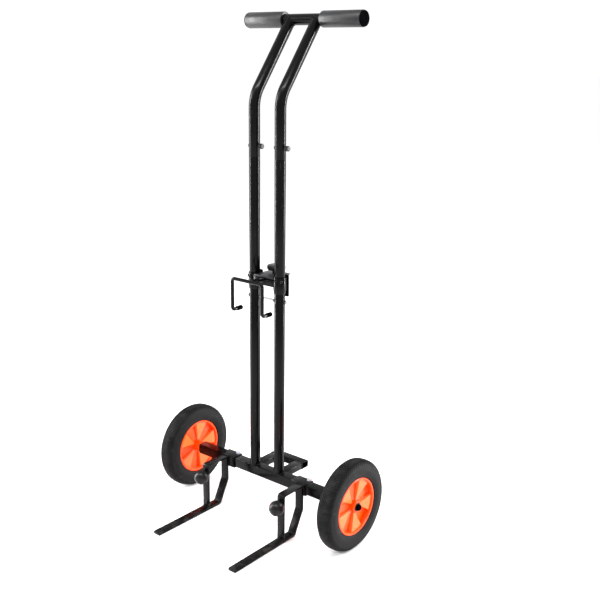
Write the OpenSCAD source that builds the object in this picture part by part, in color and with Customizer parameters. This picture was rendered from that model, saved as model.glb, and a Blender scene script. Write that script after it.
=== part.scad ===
// Two-wheeled drum dolly: square axle beam, twin round posts, bent T-handle,
// two sliding forks and a height-adjustable hook carriage. Millimetres, +Z up,
// forks point to -Y. The origin is on the floor under the middle of the whole dolly.

/* [Wheels] */
// Outer diameter of the tyre
tyre_d = 254; // [200:1:300]
// Width of the tyre
tyre_w = 50; // [40:1:60]
// Diameter of the tyre's seat on the rim
tyre_seat_d = 153; // [130:1:170]
// Diameter over the rim's lips
rim_lip_d = 159; // [140:1:180]
// Width of the rim over its lips
rim_w = 42; // [34:1:50]
// Distance between the tyres' middle planes
track = 596; // [480:1:720]
// Wall of the rim's barrel
rim_wall = 4; // [3:0.5:6]
// Thickness of the rim's web
web_t = 14; // [8:1:20]
// Height of each raised web blade above the web, each side
blade_h = 9.5; // [3:0.5:11]
// Number of raised web blades
blade_count = 5; // [3:1:9]
// Diameter of the rim's hub
hub_d = 34; // [28:1:44]
// Hub reach past the rim's lip on the beam side
hub_inner_reach = 12; // [6:1:20]
// Hub reach past the rim's lip on the outer side
hub_outer_reach = 2; // [0:1:10]
// Outer diameter of the hub bush
bush_d = 18; // [16:1:22]
// Turn of the left wheel's blades at rest, degrees from +Y towards +Z
left_blade_turn = 78; // [0:1:360]
// Turn of the right wheel's blades at rest, degrees from +Y towards +Z
right_blade_turn = 60; // [0:1:360]

/* [Axle and beam] */
// Diameter of the axle rod
axle_d = 12; // [10:0.2:15]
// Side of the square axle beam
beam_size = 30; // [25:1:40]
// Wall of the axle beam
beam_wall = 2; // [1.5:0.1:3]
// Thickness of the spacer washer between the beam and each hub
spacer_t = 3; // [1:0.5:6]
// Length of each bearing plug in the beam's ends
plug_len = 25; // [15:1:40]
// Diameter of the axle washers
washer_d = 24; // [20:1:30]
// Thickness of the outer axle washer
washer_t = 1.6; // [1:0.1:3]
// Diameter of the axle's push-on cap
axle_cap_d = 17; // [15:1:22]
// Length of the axle's push-on cap
axle_cap_len = 8; // [6:1:12]

/* [Posts] */
// Outer diameter of the posts and handle tubes
post_d = 30; // [25:0.5:36]
// Wall of the lower posts
lower_wall = 1.5; // [1:0.1:2.5]
// Wall of the upper tubes
upper_wall = 1; // [0.8:0.1:2]
// Distance between the two posts' axes
post_gap = 90; // [76:1:110]
// Height of the lower tube joint
lower_joint_z = 705; // [620:1:780]
// Height of the upper tube joint
upper_joint_z = 1029; // [960:1:1100]
// Length of each spigot inside the next tube
spigot_len = 75; // [65:1:90]
// Wall of the spigots
spigot_wall = 1.2; // [1:0.1:2]
// Distance from the lower joint down to its cross bolts
lower_bolt_drop = 58; // [40:1:62]
// Distance from the upper joint up to its cross bolts
upper_bolt_rise = 29; // [20:1:50]
// Diameter of the cross bolts
cross_bolt_d = 6; // [5:1:8]

/* [Handle] */
// Height at which the handle tubes' centre lines bend
bend_z = 1185; // [1140:1:1250]
// Radius of the handle tubes' bend
bend_r = 90; // [70:1:140]
// Setback of the handle bar behind the posts
handle_back = 147; // [100:1:200]
// Overall length of the handle
handle_len = 395; // [320:1:460]
// Diameter of the grips
grip_d = 43; // [38:1:50]
// Length of each grip
grip_len = 129; // [100:1:132]
// Thickness of the grips' end caps
grip_cap_t = 4; // [2:0.5:8]

/* [Rear foot] */
// Width of the foot frame
foot_w = 119; // [100:1:160]
// Reach of the foot frame behind the axle
foot_reach = 115; // [80:1:150]
// Width of the foot frame's flat tube
foot_tube_w = 28; // [20:1:36]
// Height of the foot frame's flat tube
foot_tube_h = 20; // [15:1:25]
// Wall of the foot frame's tube
foot_wall = 1.2; // [1:0.1:2]

/* [Forks] */
// Width of the forks' flat bars
fork_bar_w = 24; // [18:1:32]
// Thickness of the prong bar
prong_t = 8; // [6:0.5:10]
// Thickness of the brace bar
brace_t = 5; // [4:0.5:8]
// Reach of the prongs in front of the axle
prong_reach = 297; // [240:1:360]
// Distance of the prongs' heel in front of the axle
heel_reach = 54; // [44:1:64]
// Drop from the axle to where the rear strut leaves the vertical
strut_knee_drop = 57; // [44:1:70]
// Distance of the front strut's face in front of the axle
brace_reach = 103; // [85:1:130]
// Outer radius of the brace's top corner
brace_corner_r = 10; // [8:1:14]
// Place of the left fork's bars along the beam at rest
left_fork_x = -147.5; // [-180:0.5:-130]
// Place of the right fork's bars along the beam at rest
right_fork_x = 139.5; // [130:0.5:180]
// Length of the sleeves on the beam
sleeve_len = 50; // [40:1:60]
// Shift of each sleeve from its fork bars, towards the middle
sleeve_shift = 8; // [0:1:12]
// Wall of the fork sleeves
sleeve_wall = 3; // [2:0.5:5]
// Drop from the brace's top face to the ball knobs' centres
ball_drop = 34; // [28:1:50]
// Diameter of the ball knobs
ball_d = 43; // [30:1:46]
// Diameter of the ball knobs' studs
ball_stud_d = 8; // [6:1:10]
// Diameter of the fork clamp screws
clamp_screw_d = 8; // [6:1:10]

/* [Hook carriage] */
// Height of the carriage sleeves
collar_h = 46; // [36:1:60]
// Height of the carriage sleeves' lower ends at rest
collar_z = 669; // [668:1:700]
// Wall of the carriage sleeves
collar_wall = 2.4; // [2:0.1:4.5]
// Height of the bridge between the sleeves
bridge_h = 26; // [22:1:32]
// Depth of the bridge
bridge_depth = 32; // [28:1:36]
// Thickness of the bridge's plates
bridge_t = 3; // [2:0.5:4]
// Reach of the shelf behind the posts' axes
shelf_reach = 58; // [50:1:75]
// Thickness of the shelf
shelf_t = 4; // [3:0.5:6]
// Height of the rear straps
strap_h = 61; // [50:1:64]
// Width of the rear straps
strap_w = 26; // [20:1:30]
// Thickness of the rear straps
strap_t = 4; // [3:0.5:6]
// Reach of the hook rod in front of the posts' axes
hook_reach = 81; // [65:1:110]
// Distance between the hook rod's legs
hook_span = 107; // [90:1:140]
// Rise of the hook rod's cross bar above the arm's middle plane
hook_rise = 4.5; // [0:0.5:6]
// Length of the hook rod's legs
hook_drop = 88; // [60:1:110]
// Length of the hooks' tips
hook_tip = 35; // [20:1:42]
// Diameter of the hook rod
hook_rod_d = 10; // [6:0.5:12]
// Length of the caps on the hook rod's tips
tip_cap_len = 20; // [10:1:24]
// Bend radius of the hook rod's centre line
hook_bend_r = 9; // [7:1:12]
// Travel of the hook arm forwards from where it stands
hook_out = 14; // [6:1:16]
// Travel of the hook arm back towards the posts
hook_in = 25; // [10:1:26]
// Width of the hook arm
arm_w = 16; // [14:1:30]
// Thickness of the hook arm
arm_t = 6; // [4:0.5:8]
// Diameter of the clamp knob
knob_d = 52; // [40:1:60]
// Height of the clamp knob's head
knob_head_h = 14; // [10:1:20]
// Height of the clamp knob's neck
knob_neck_h = 9; // [6:1:14]
// Distance of the clamp knob behind the posts' axes
knob_back = 38; // [34:1:46]
// Diameter of the clamp knob's stud
knob_stud_d = 8; // [6:1:10]

/* [Hidden] */
$fn = 64;

// Clearances and shared small sizes
eps = 0.01;
fit_gap = 0.05;         // radial gap of a running or drop-in fit
slide_gap = 0.3;        // gap of a sliding sleeve on tube
weld_gap = 0.1;         // gap left between a curved face and what is welded to it
hex = 6;                // sides of a hexagon head

// Heights and places that follow from the sizes above
axle_z = tyre_d / 2;
wheel_x = track / 2;
rear_reach = handle_back + grip_d / 2;
axle_y = (prong_reach - rear_reach) / 2;
beam_top = axle_z + beam_size / 2;
post_x = post_gap / 2;
hub_in = rim_w / 2 + hub_inner_reach;
hub_out = rim_w / 2 + hub_outer_reach;
beam_len = track - 2 * (hub_in + spacer_t);
axle_half = wheel_x + hub_out + washer_t + axle_cap_len - 2;
bush_bore_d = axle_d + 2 * fit_gap;
spigot_d = post_d - 2 * lower_wall - 2 * fit_gap;
upper_spigot_d = post_d - 2 * upper_wall - 2 * fit_gap;
lower_bolt_z = lower_joint_z - lower_bolt_drop;
upper_bolt_z = upper_joint_z + upper_bolt_rise;
cross_hole_d = cross_bolt_d + 0.4;
nut_across = 10;
nut_t = 5;
slope_back = 3;         // the handle tubes lean back 3 for every 4 up
slope_up = 4;
bend_angle = atan(slope_back / slope_up);
bend_tangent = bend_r * tan(bend_angle / 2);
straight_z = bend_z - bend_tangent;
handle_z = bend_z + handle_back * slope_up / slope_back;
slant_len = handle_back / sin(bend_angle) - bend_tangent;
handle_half = handle_len / 2;
grip_in_x = handle_half - grip_cap_t - grip_len;
sleeve_bore = beam_size + 2 * slide_gap;
sleeve_size = sleeve_bore + 2 * sleeve_wall;
strut_knee_z = axle_z - strut_knee_drop;
collar_bore_d = post_d + 2 * slide_gap;
collar_d = collar_bore_d + 2 * collar_wall;
collar_top = collar_z + collar_h;
strap_in = post_x + post_d / 2 - strap_w;
strap_sag = 3;          // the straps sit this much below the collars' middle
shelf_z = collar_top - 2 - shelf_t;
arm_z = shelf_z - arm_t - fit_gap;
bridge_z = shelf_z - bridge_h + shelf_t;
hook_z = arm_z + arm_t / 2 + hook_rise;
slot_w = knob_stud_d + 2 * slide_gap;
slot_front = knob_back - hook_in;
slot_back = knob_back + hook_out;
arm_tail = slot_back + knob_stud_d / 2 + 5;

// ---- helpers ----

module at_axle() translate([0, axle_y, 0]) children();

module mirror_x(side) mirror([side < 0 ? 1 : 0, 0, 0]) children();

// round bar along X from x1 to x2
module bar_x(d, x1, x2) translate([x1, 0, 0]) rotate([0, 90, 0]) cylinder(d = d, h = x2 - x1);

// round bar along Y from y1 to y2
module bar_y(d, y1, y2) translate([0, y2, 0]) rotate([90, 0, 0]) cylinder(d = d, h = y2 - y1);

// hexagon prism along X from x1 to x2
module hex_x(across, x1, x2)
    translate([x1, 0, 0]) rotate([0, 90, 0]) cylinder(d = across / cos(30), h = x2 - x1, $fn = hex);

module block(x1, x2, y1, y2, z1, z2) translate([x1, y1, z1]) cube([x2 - x1, y2 - y1, z2 - z1]);

module tube_z(d, wall, z1, z2)
    translate([0, 0, z1]) difference() {
        cylinder(d = d, h = z2 - z1);
        translate([0, 0, -1]) cylinder(d = d - 2 * wall, h = z2 - z1 + 2);
    }

module cross_hole(z) translate([0, 0, z]) bar_x(cross_hole_d, -post_d, post_d);

module at_wheel(side) at_axle() translate([side * wheel_x, 0, axle_z]) mirror_x(side) children();

// ---- wheels: drawn for the right side, the outer face towards +X ----

function tyre_half() = [
    [rim_w / 2 - 2.2, tyre_seat_d / 2 + fit_gap],
    [rim_w / 2 - 2.2, rim_lip_d / 2 + 0.6],
    [rim_w / 2 + 0.4, rim_lip_d / 2 + 1.2],
    [tyre_w / 2 - 1.2, rim_lip_d / 2 + 6],
    [tyre_w / 2, (rim_lip_d + tyre_d) / 4],
    [tyre_w / 2 - 3, tyre_d / 2 - 8.5],
    [tyre_w / 2 - 9, tyre_d / 2 - 2.6],
    [tyre_w / 4 - 4, tyre_d / 2 - 0.4]
];

module spin_x() rotate([0, 90, 0]) rotate_extrude($fn = 128) children();

module tyre()
    color("#1c1c1e") spin_x() polygon(concat(
        [for (p = tyre_half()) [p[1], p[0]]],
        [[tyre_d / 2, 0]],
        [for (i = [len(tyre_half()) - 1:-1:0]) [tyre_half()[i][1], -tyre_half()[i][0]]]
    ));

module rim_barrel()
    spin_x() polygon([
        [tyre_seat_d / 2 - rim_wall, -rim_w / 2], [rim_lip_d / 2, -rim_w / 2],
        [rim_lip_d / 2, -rim_w / 2 + 2], [tyre_seat_d / 2, -rim_w / 2 + 2],
        [tyre_seat_d / 2, rim_w / 2 - 2], [rim_lip_d / 2, rim_w / 2 - 2],
        [rim_lip_d / 2, rim_w / 2], [tyre_seat_d / 2 - rim_wall, rim_w / 2]
    ]);

// one raised blade: a wedge that widens from the hub to the barrel
module blade() {
    inner_r = hub_d / 2 - 2;
    outer_r = tyre_seat_d / 2 - rim_wall + 0.5;
    spread = 360 / blade_count / 4;
    linear_extrude(height = web_t + 2 * blade_h, center = true) polygon([
        [inner_r, -3], [outer_r * cos(spread), -outer_r * sin(spread)], [outer_r, 0],
        [outer_r * cos(spread), outer_r * sin(spread)], [inner_r, 3]
    ]);
}

module rim(turn)
    color("#f4511c") difference() {
        union() {
            rim_barrel();
            bar_x(tyre_seat_d - 2 * rim_wall + 1, -web_t / 2, web_t / 2);
            bar_x(hub_d, -hub_in, hub_out);
            // blades stand on both faces of the web; their turn is counted in the dolly's own YZ plane
            for (i = [0:blade_count - 1])
                rotate([turn + i * 360 / blade_count, 0, 0]) rotate([0, 90, 0]) rotate([0, 0, 90]) blade();
        }
        bar_x(bush_d, -hub_in - 1, hub_out + 1);
    }

module hub_bush()
    color("#dddddd") difference() {
        bar_x(bush_d, -hub_in, hub_out);
        bar_x(bush_bore_d, -hub_in - 1, hub_out + 1);
    }

module left_tyre() at_wheel(-1) tyre();
module right_tyre() at_wheel(1) tyre();
module left_rim() at_wheel(-1) rim(left_blade_turn);
module right_rim() at_wheel(1) rim(right_blade_turn);
module left_hub_bush() at_wheel(-1) hub_bush();
module right_hub_bush() at_wheel(1) hub_bush();

// ---- axle and beam ----

module on_axle() at_axle() translate([0, 0, axle_z]) children();

module axle_beam()
    color("#161616") on_axle() difference() {
        cube([beam_len, beam_size, beam_size], center = true);
        cube([beam_len + 2, beam_size - 2 * beam_wall, beam_size - 2 * beam_wall], center = true);
    }

module beam_plug(side)
    color("#222222") on_axle() mirror_x(side) difference() {
        translate([beam_len / 2 - plug_len / 2, 0, 0])
            cube([plug_len, beam_size - 2 * beam_wall, beam_size - 2 * beam_wall], center = true);
        bar_x(axle_d + 2 * fit_gap, 0, beam_len);
    }

module left_beam_plug() beam_plug(-1);
module right_beam_plug() beam_plug(1);

module axle_rod() color("#8a8d90") on_axle() bar_x(axle_d, -axle_half, axle_half);

module axle_ring(d, x1, x2)
    difference() {
        bar_x(d, x1, x2);
        bar_x(axle_d + 2 * fit_gap, x1 - 1, x2 + 1);
    }

// one spacer washer against the beam and one washer outside the hub, each side
module axle_washers()
    color("#b8bcc0") on_axle() for (side = [-1, 1]) mirror_x(side) {
        axle_ring(washer_d, beam_len / 2, beam_len / 2 + spacer_t - fit_gap);
        axle_ring(washer_d, wheel_x + hub_out + fit_gap, wheel_x + hub_out + washer_t);
    }

module axle_caps()
    color("#101010") on_axle() for (side = [-1, 1]) mirror_x(side) {
        cap_in = wheel_x + hub_out + washer_t;
        difference() {
            union() {
                bar_x(axle_cap_d, cap_in, cap_in + axle_cap_len - 1.5);
                bar_x(axle_cap_d - 3, cap_in, cap_in + axle_cap_len);
            }
            bar_x(axle_d + 2 * fit_gap, cap_in - 1, axle_half + fit_gap);
        }
    }

// ---- posts, handle tubes and handle ----

module at_post(side) at_axle() translate([side * post_x, 0, 0]) children();

module lower_post(side)
    color("#161616") at_post(side) difference() {
        tube_z(post_d, lower_wall, beam_top, lower_joint_z);
        cross_hole(lower_bolt_z);
    }

// the mid post carries a swaged spigot at each end
module mid_post(side)
    color("#161616") at_post(side) difference() {
        union() {
            tube_z(post_d, lower_wall, lower_joint_z, upper_joint_z);
            tube_z(spigot_d, spigot_wall, lower_joint_z - spigot_len, lower_joint_z);
            tube_z(upper_spigot_d, spigot_wall, upper_joint_z, upper_joint_z + spigot_len);
            // the shoulders that join the spigots to the tube
            tube_z(post_d - eps, lower_wall + spigot_wall + 1, lower_joint_z, lower_joint_z + 3);
            tube_z(post_d - eps, lower_wall + spigot_wall + 1, upper_joint_z - 3, upper_joint_z);
        }
        cross_hole(lower_bolt_z);
        cross_hole(upper_bolt_z);
    }

module left_lower_post() lower_post(-1);
module right_lower_post() lower_post(1);
module left_mid_post() mid_post(-1);
module right_mid_post() mid_post(1);

// bent bar of diameter d, drawn from the start of the bend
module bent_bar(d) {
    mirror([0, 0, 1]) cylinder(d = d, h = straight_z - upper_joint_z);
    translate([0, bend_r, 0]) rotate([0, -90, 0]) rotate([0, 0, -90])
        rotate_extrude(angle = bend_angle) translate([bend_r, 0]) circle(d = d);
    translate([0, bend_r, 0]) rotate([-bend_angle, 0, 0]) translate([0, -bend_r, 0])
        cylinder(d = d, h = slant_len);
}

module handle_tube(side)
    color("#161616") at_post(side) difference() {
        translate([0, 0, straight_z]) difference() {
            bent_bar(post_d);
            bent_bar(post_d - 2 * upper_wall);
        }
        cross_hole(upper_bolt_z);
        // the cope that seats on the handle bar
        translate([0, handle_back, handle_z]) bar_x(post_d + 2 * weld_gap, -post_d, post_d);
    }

module left_handle_tube() handle_tube(-1);
module right_handle_tube() handle_tube(1);

module at_handle() at_axle() translate([0, handle_back, handle_z]) children();

module handle_bar()
    color("#161616") at_handle() difference() {
        bar_x(post_d, -handle_half + grip_cap_t, handle_half - grip_cap_t);
        bar_x(post_d - 2 * upper_wall, -handle_half, handle_half);
    }

module grip(side)
    color("#55585c") at_handle() mirror_x(side) difference() {
        bar_x(grip_d, grip_in_x, handle_half - grip_cap_t);
        bar_x(post_d + 2 * fit_gap, grip_in_x - 1, handle_half);
    }

module left_grip() grip(-1);
module right_grip() grip(1);

module grip_end_caps()
    color("#0e0e0e") at_handle() for (side = [-1, 1]) mirror_x(side)
        bar_x(grip_d - 2, handle_half - grip_cap_t, handle_half);

// ---- tube joint fasteners, their threaded ends towards +X ----

module at_bolts(z) for (side = [-1, 1]) at_post(side) translate([0, 0, z]) children();

seat_x = post_d / 2;

// one threaded rod through both posts, with a nut on each side of each post
module lower_joint_rod()
    color("#8a8d90") at_axle() translate([0, 0, lower_bolt_z])
        bar_x(cross_bolt_d, -post_x - seat_x - nut_t - 3, post_x + seat_x + 14);

module lower_joint_nuts()
    color("#2a2a2a") at_bolts(lower_bolt_z) for (end = [0, 1]) mirror_x(end * 2 - 1) difference() {
        hex_x(nut_across, seat_x + 0.02, seat_x + nut_t);
        bar_x(cross_bolt_d + 2 * fit_gap, seat_x - 1, seat_x + nut_t + 1);
    }

module upper_joint_knobs()
    color("#1a1a1a") at_bolts(upper_bolt_z) {
        bar_x(cross_bolt_d, -seat_x - 3, seat_x + 4);
        bar_x(nut_across, seat_x + 0.02, seat_x + 4);
        bar_x(nut_across + 4, seat_x + 4, seat_x + 14);
    }

module upper_joint_nuts()
    color("#1a1a1a") at_bolts(upper_bolt_z) difference() {
        bar_x(nut_across + 1, -seat_x - 3, -seat_x - 0.02);
        bar_x(cross_bolt_d + 2 * fit_gap, -seat_x - 4, -seat_x + 1);
    }

// ---- rear foot frame: a loop of flat tube closed by the beam ----

module foot_rail(side)
    color("#161616") at_axle() mirror_x(side) difference() {
        block(foot_w / 2 - foot_tube_w, foot_w / 2, beam_size / 2, foot_reach - foot_tube_w,
            beam_top - foot_tube_h, beam_top);
        block(foot_w / 2 - foot_tube_w + foot_wall, foot_w / 2 - foot_wall, beam_size / 2 - 1, foot_reach,
            beam_top - foot_tube_h + foot_wall, beam_top - foot_wall);
    }

module foot_left_rail() foot_rail(-1);
module foot_right_rail() foot_rail(1);

module foot_cross_rail()
    color("#161616") at_axle() difference() {
        block(-foot_w / 2, foot_w / 2, foot_reach - foot_tube_w, foot_reach,
            beam_top - foot_tube_h, beam_top);
        block(-foot_w / 2 - 1, foot_w / 2 + 1, foot_reach - foot_tube_w + foot_wall, foot_reach - foot_wall,
            beam_top - foot_tube_h + foot_wall, beam_top - foot_wall);
    }

// ---- forks: drawn at their bars' middle plane; side is -1 left, 1 right ----

module at_fork(side) at_axle() translate([side < 0 ? left_fork_x : right_fork_x, 0, 0]) children();

// extrudes a YZ outline over the fork bar's width; outline x is distance in front of the axle
module fork_profile() rotate([0, 0, -90]) rotate([90, 0, 0])
    linear_extrude(height = fork_bar_w, center = true) children();

sleeve_face = sleeve_size / 2;

// polyline of a bar of thickness t as thick segments with round corners
module thick_line(points, t)
    for (i = [0:len(points) - 2]) {
        a = points[i];
        b = points[i + 1];
        run = b - a;
        translate(a) rotate([0, 0, atan2(run[1], run[0])]) translate([0, -t / 2]) square([norm(run), t]);
        if (i > 0) translate(a) circle(d = t, $fn = 32);
    }

module fork_prong(side)
    color("#161616") at_fork(side) fork_profile() difference() {
        thick_line([
            [sleeve_face + prong_t / 2, axle_z + sleeve_face - 8],
            [sleeve_face + prong_t / 2, strut_knee_z],
            [heel_reach, prong_t / 2],
            [prong_reach, prong_t / 2]
        ], prong_t);
        // nothing reaches below the floor
        translate([0, -prong_t]) square([prong_reach, prong_t]);
    }

brace_top_z = axle_z + sleeve_face - 8 + brace_t;
ball_z = brace_top_z - ball_drop;

module fork_brace(side)
    color("#161616") at_fork(side) fork_profile() {
        corner_mid = brace_corner_r - brace_t / 2;
        translate([sleeve_face, brace_top_z - brace_t])
            square([brace_reach - sleeve_face - brace_corner_r, brace_t]);
        translate([brace_reach - brace_t, prong_t])
            square([brace_t, brace_top_z - prong_t - brace_corner_r]);
        translate([brace_reach - brace_corner_r, brace_top_z - brace_corner_r])
            intersection() {
                difference() {
                    circle(r = brace_corner_r);
                    circle(r = brace_corner_r - brace_t);
                }
                square(brace_corner_r);
            }
    }

module sleeve_block(side, extra)
    translate([-side * sleeve_shift - sleeve_len / 2, 0, axle_z])
        rotate([90, 0, 90]) translate([0, 0, -extra]) linear_extrude(height = sleeve_len + 2 * extra) children();

module fork_sleeve(side)
    color("#161616") at_fork(side) difference() {
        sleeve_block(side, 0) square(sleeve_size, center = true);
        sleeve_block(side, 1) square(sleeve_bore, center = true);
        at_clamp_screw(side) translate([0, 0, -sleeve_wall - 1])
            cylinder(d = clamp_screw_d + 2 * fit_gap, h = sleeve_wall + 2);
    }

// the clamp screw stands on top of the sleeve, near its +X end and rear edge
module at_clamp_screw(side)
    translate([-side * sleeve_shift + sleeve_len / 2 - 8, beam_size / 2 - 4.5, axle_z + sleeve_face]) children();

module clamp_screw(side)
    color("#c9ccd0") at_fork(side) at_clamp_screw(side) {
        translate([0, 0, -sleeve_wall - slide_gap + fit_gap])
            cylinder(d = clamp_screw_d, h = sleeve_wall + slide_gap + 1);
        translate([0, 0, fit_gap]) cylinder(d = 13 / cos(30), h = 5.5, $fn = hex);
    }

// ball knob with a flat seat on the brace's front face, and the stud that holds it
module at_ball(side) at_fork(side) translate([0, -brace_reach, ball_z]) children();

ball_back = ball_d / 2 - 5;

module ball_knob(side)
    color("#0d0d0d") at_ball(side) rotate([90, 0, 0]) difference() {
        rotate_extrude($fn = 96) intersection() {
            translate([0, ball_back]) circle(d = ball_d);
            square([ball_d, 2 * ball_d]);
        }
        translate([0, 0, -1]) cylinder(d = ball_stud_d + 2 * fit_gap, h = ball_back + 1);
    }

module ball_stud(side)
    color("#8a8d90") at_ball(side) {
        bar_y(ball_stud_d, -ball_back + 1, brace_t + 4);
        translate([0, brace_t + 4.5 + fit_gap, 0]) rotate([90, 0, 0])
            cylinder(d = 13 / cos(30), h = 4.5, $fn = hex);
    }

module fork_brace_drilled(side)
    difference() {
        fork_brace(side);
        at_ball(side) bar_y(ball_stud_d + 2 * fit_gap, -1, brace_t + 1);
    }

module left_fork_sleeve() fork_sleeve(-1);
module right_fork_sleeve() fork_sleeve(1);
module left_fork_prong() fork_prong(-1);
module right_fork_prong() fork_prong(1);
module left_fork_brace() fork_brace_drilled(-1);
module right_fork_brace() fork_brace_drilled(1);
module left_ball_knob() ball_knob(-1);
module right_ball_knob() ball_knob(1);
module left_ball_stud() ball_stud(-1);
module right_ball_stud() ball_stud(1);
module left_clamp_screw() clamp_screw(-1);
module right_clamp_screw() clamp_screw(1);

// ---- hook carriage ----

// collar on a post, tapered at its lower end
module collar(side)
    color("#161616") at_post(side) translate([0, 0, collar_z]) rotate_extrude() polygon([
        [collar_bore_d / 2, 0], [collar_d / 2 - 1.6, 0], [collar_d / 2, 12],
        [collar_d / 2, collar_h], [collar_bore_d / 2, collar_h]
    ]);

module left_collar() collar(-1);
module right_collar() collar(1);

module clear_of_collars()
    for (side = [-1, 1]) translate([side * post_x, 0, collar_z - 1])
        cylinder(d = collar_d + 2 * weld_gap, h = collar_h + 2);

// channel between the collars, its front and rear walls notched for the hook arm
module carriage_bridge()
    color("#161616") at_axle() difference() {
        block(-post_x, post_x, -bridge_depth / 2, bridge_depth / 2, bridge_z, shelf_z);
        block(-post_x - 1, post_x + 1, -bridge_depth / 2 + bridge_t, bridge_depth / 2 - bridge_t,
            bridge_z + bridge_t, shelf_z + 1);
        clear_of_collars();
        block(-arm_w / 2 - slide_gap, arm_w / 2 + slide_gap, -bridge_depth, bridge_depth,
            arm_z - slide_gap, shelf_z + 1);
    }

module carriage_shelf()
    color("#3a3c3e") at_axle() difference() {
        block(-strap_in, strap_in, -bridge_depth / 2, shelf_reach,
            shelf_z, shelf_z + shelf_t);
        clear_of_collars();
        translate([0, knob_back, shelf_z - 1]) cylinder(d = knob_stud_d + 2 * fit_gap, h = shelf_t + 2);
    }

module strap(side)
    color("#161616") at_axle() mirror_x(side)
        block(strap_in, strap_in + strap_w,
            collar_d / 2 + weld_gap, collar_d / 2 + weld_gap + strap_t,
            collar_z + collar_h / 2 - strap_sag - strap_h / 2, collar_z + collar_h / 2 - strap_sag + strap_h / 2);

module left_strap() strap(-1);
module right_strap() strap(1);

// four grub screws with round heads on the collars' fronts
module collar_screws()
    color("#3a3a3a") for (side = [-1, 1]) at_post(side) for (turn = [4, 52])
        rotate([0, 0, side * turn]) translate([0, 0, collar_top - 10])
            bar_y(7, -collar_d / 2 - 2.5, -collar_d / 2 - weld_gap);

// flat arm that slides through the bridge under the shelf, slotted for the clamp stud
module hook_arm()
    color("#161616") at_axle() difference() {
        block(-arm_w / 2, arm_w / 2, -hook_reach, arm_tail, arm_z, arm_z + arm_t);
        // the cope that seats on the hook rod
        translate([0, -hook_reach, hook_z]) bar_x(hook_rod_d + 2 * weld_gap, -arm_w, arm_w);
        block(-arm_w, arm_w, -2 * hook_reach, -hook_reach + 1, arm_z - 1, arm_z + arm_t + 1);
        for (end = [slot_front, slot_back]) translate([0, end, arm_z - 1])
            cylinder(d = slot_w, h = arm_t + 2);
        block(-slot_w / 2, slot_w / 2, slot_front, slot_back, arm_z - 1, arm_z + arm_t + 1);
    }

// rod with a cross bar, two legs and two tips that turn back towards the posts
module hook_rod()
    color("#161616") at_axle() translate([0, -hook_reach, hook_z]) {
        leg_x = hook_span / 2;
        bar_x(hook_rod_d, -leg_x + hook_bend_r, leg_x - hook_bend_r);
        for (side = [-1, 1]) mirror_x(side) {
            translate([leg_x - hook_bend_r, 0, -hook_bend_r]) rotate([90, 0, 0])
                rotate_extrude(angle = 90) translate([hook_bend_r, 0]) circle(d = hook_rod_d, $fn = 32);
            translate([leg_x, 0, -hook_drop + hook_bend_r])
                cylinder(d = hook_rod_d, h = hook_drop - 2 * hook_bend_r, $fn = 32);
            translate([leg_x, hook_bend_r, -hook_drop + hook_bend_r]) rotate([0, 90, 0]) rotate([0, 0, -90])
                rotate_extrude(angle = 90) translate([hook_bend_r, 0]) circle(d = hook_rod_d, $fn = 32);
            translate([leg_x, 0, -hook_drop]) bar_y(hook_rod_d, hook_bend_r, hook_tip);
        }
    }

// blind cap pushed on each tip of the hook rod
module hook_tip_caps()
    color("#0e0e0e") at_axle() translate([0, -hook_reach, hook_z - hook_drop]) for (side = [-1, 1])
        translate([side * hook_span / 2, 0, 0]) difference() {
            bar_y(hook_rod_d + 2.6, hook_tip - tip_cap_len, hook_tip + 2);
            bar_y(hook_rod_d + 2 * fit_gap, hook_tip - tip_cap_len - 1, hook_tip + fit_gap);
        }

// star knob over the shelf
module clamp_knob()
    color("#0d0d0d") at_axle() translate([0, knob_back, shelf_z + shelf_t + fit_gap]) difference() {
        lobe_count = 8;
        union() {
            cylinder(d = knob_d * 0.42, h = knob_neck_h + 1);
            translate([0, 0, knob_neck_h]) cylinder(d = knob_d, h = knob_head_h - 3);
            translate([0, 0, knob_neck_h]) cylinder(d = knob_d - 6, h = knob_head_h);
        }
        for (i = [0:lobe_count - 1]) rotate([0, 0, i * 360 / lobe_count])
            translate([knob_d / 2 + 3.4, 0, knob_neck_h - 1]) cylinder(d = 11, h = knob_head_h + 2);
        translate([0, 0, -1]) cylinder(d = knob_stud_d + 2 * fit_gap, h = knob_neck_h + 6);
    }

module clamp_stud()
    color("#8a8d90") at_axle() translate([0, knob_back, arm_z - 9]) {
        cylinder(d = knob_stud_d, h = shelf_z + shelf_t - arm_z + 9 + knob_neck_h + 4);
        translate([0, 0, 9 - 6.8]) cylinder(d = 13 / cos(30), h = 6.5, $fn = hex);
    }

axle_beam();
left_beam_plug();
right_beam_plug();
axle_rod();
axle_washers();
axle_caps();
left_lower_post();
right_lower_post();
left_mid_post();
right_mid_post();
left_handle_tube();
right_handle_tube();
handle_bar();
left_grip();
right_grip();
grip_end_caps();
lower_joint_rod();
lower_joint_nuts();
upper_joint_knobs();
upper_joint_nuts();
foot_left_rail();
foot_right_rail();
foot_cross_rail();
left_tyre();
left_rim();
left_hub_bush();
right_tyre();
right_rim();
right_hub_bush();
left_fork_sleeve();
left_fork_prong();
left_fork_brace();
left_ball_knob();
left_ball_stud();
left_clamp_screw();
right_fork_sleeve();
right_fork_prong();
right_fork_brace();
right_ball_knob();
right_ball_stud();
right_clamp_screw();
left_collar();
right_collar();
carriage_bridge();
carriage_shelf();
left_strap();
right_strap();
collar_screws();
hook_arm();
hook_rod();
hook_tip_caps();
clamp_knob();
clamp_stud();
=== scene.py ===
"""Looks for a two-wheeled drum dolly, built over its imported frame."""

import math

import bmesh
import bpy
from mathutils import Matrix, Vector


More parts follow.
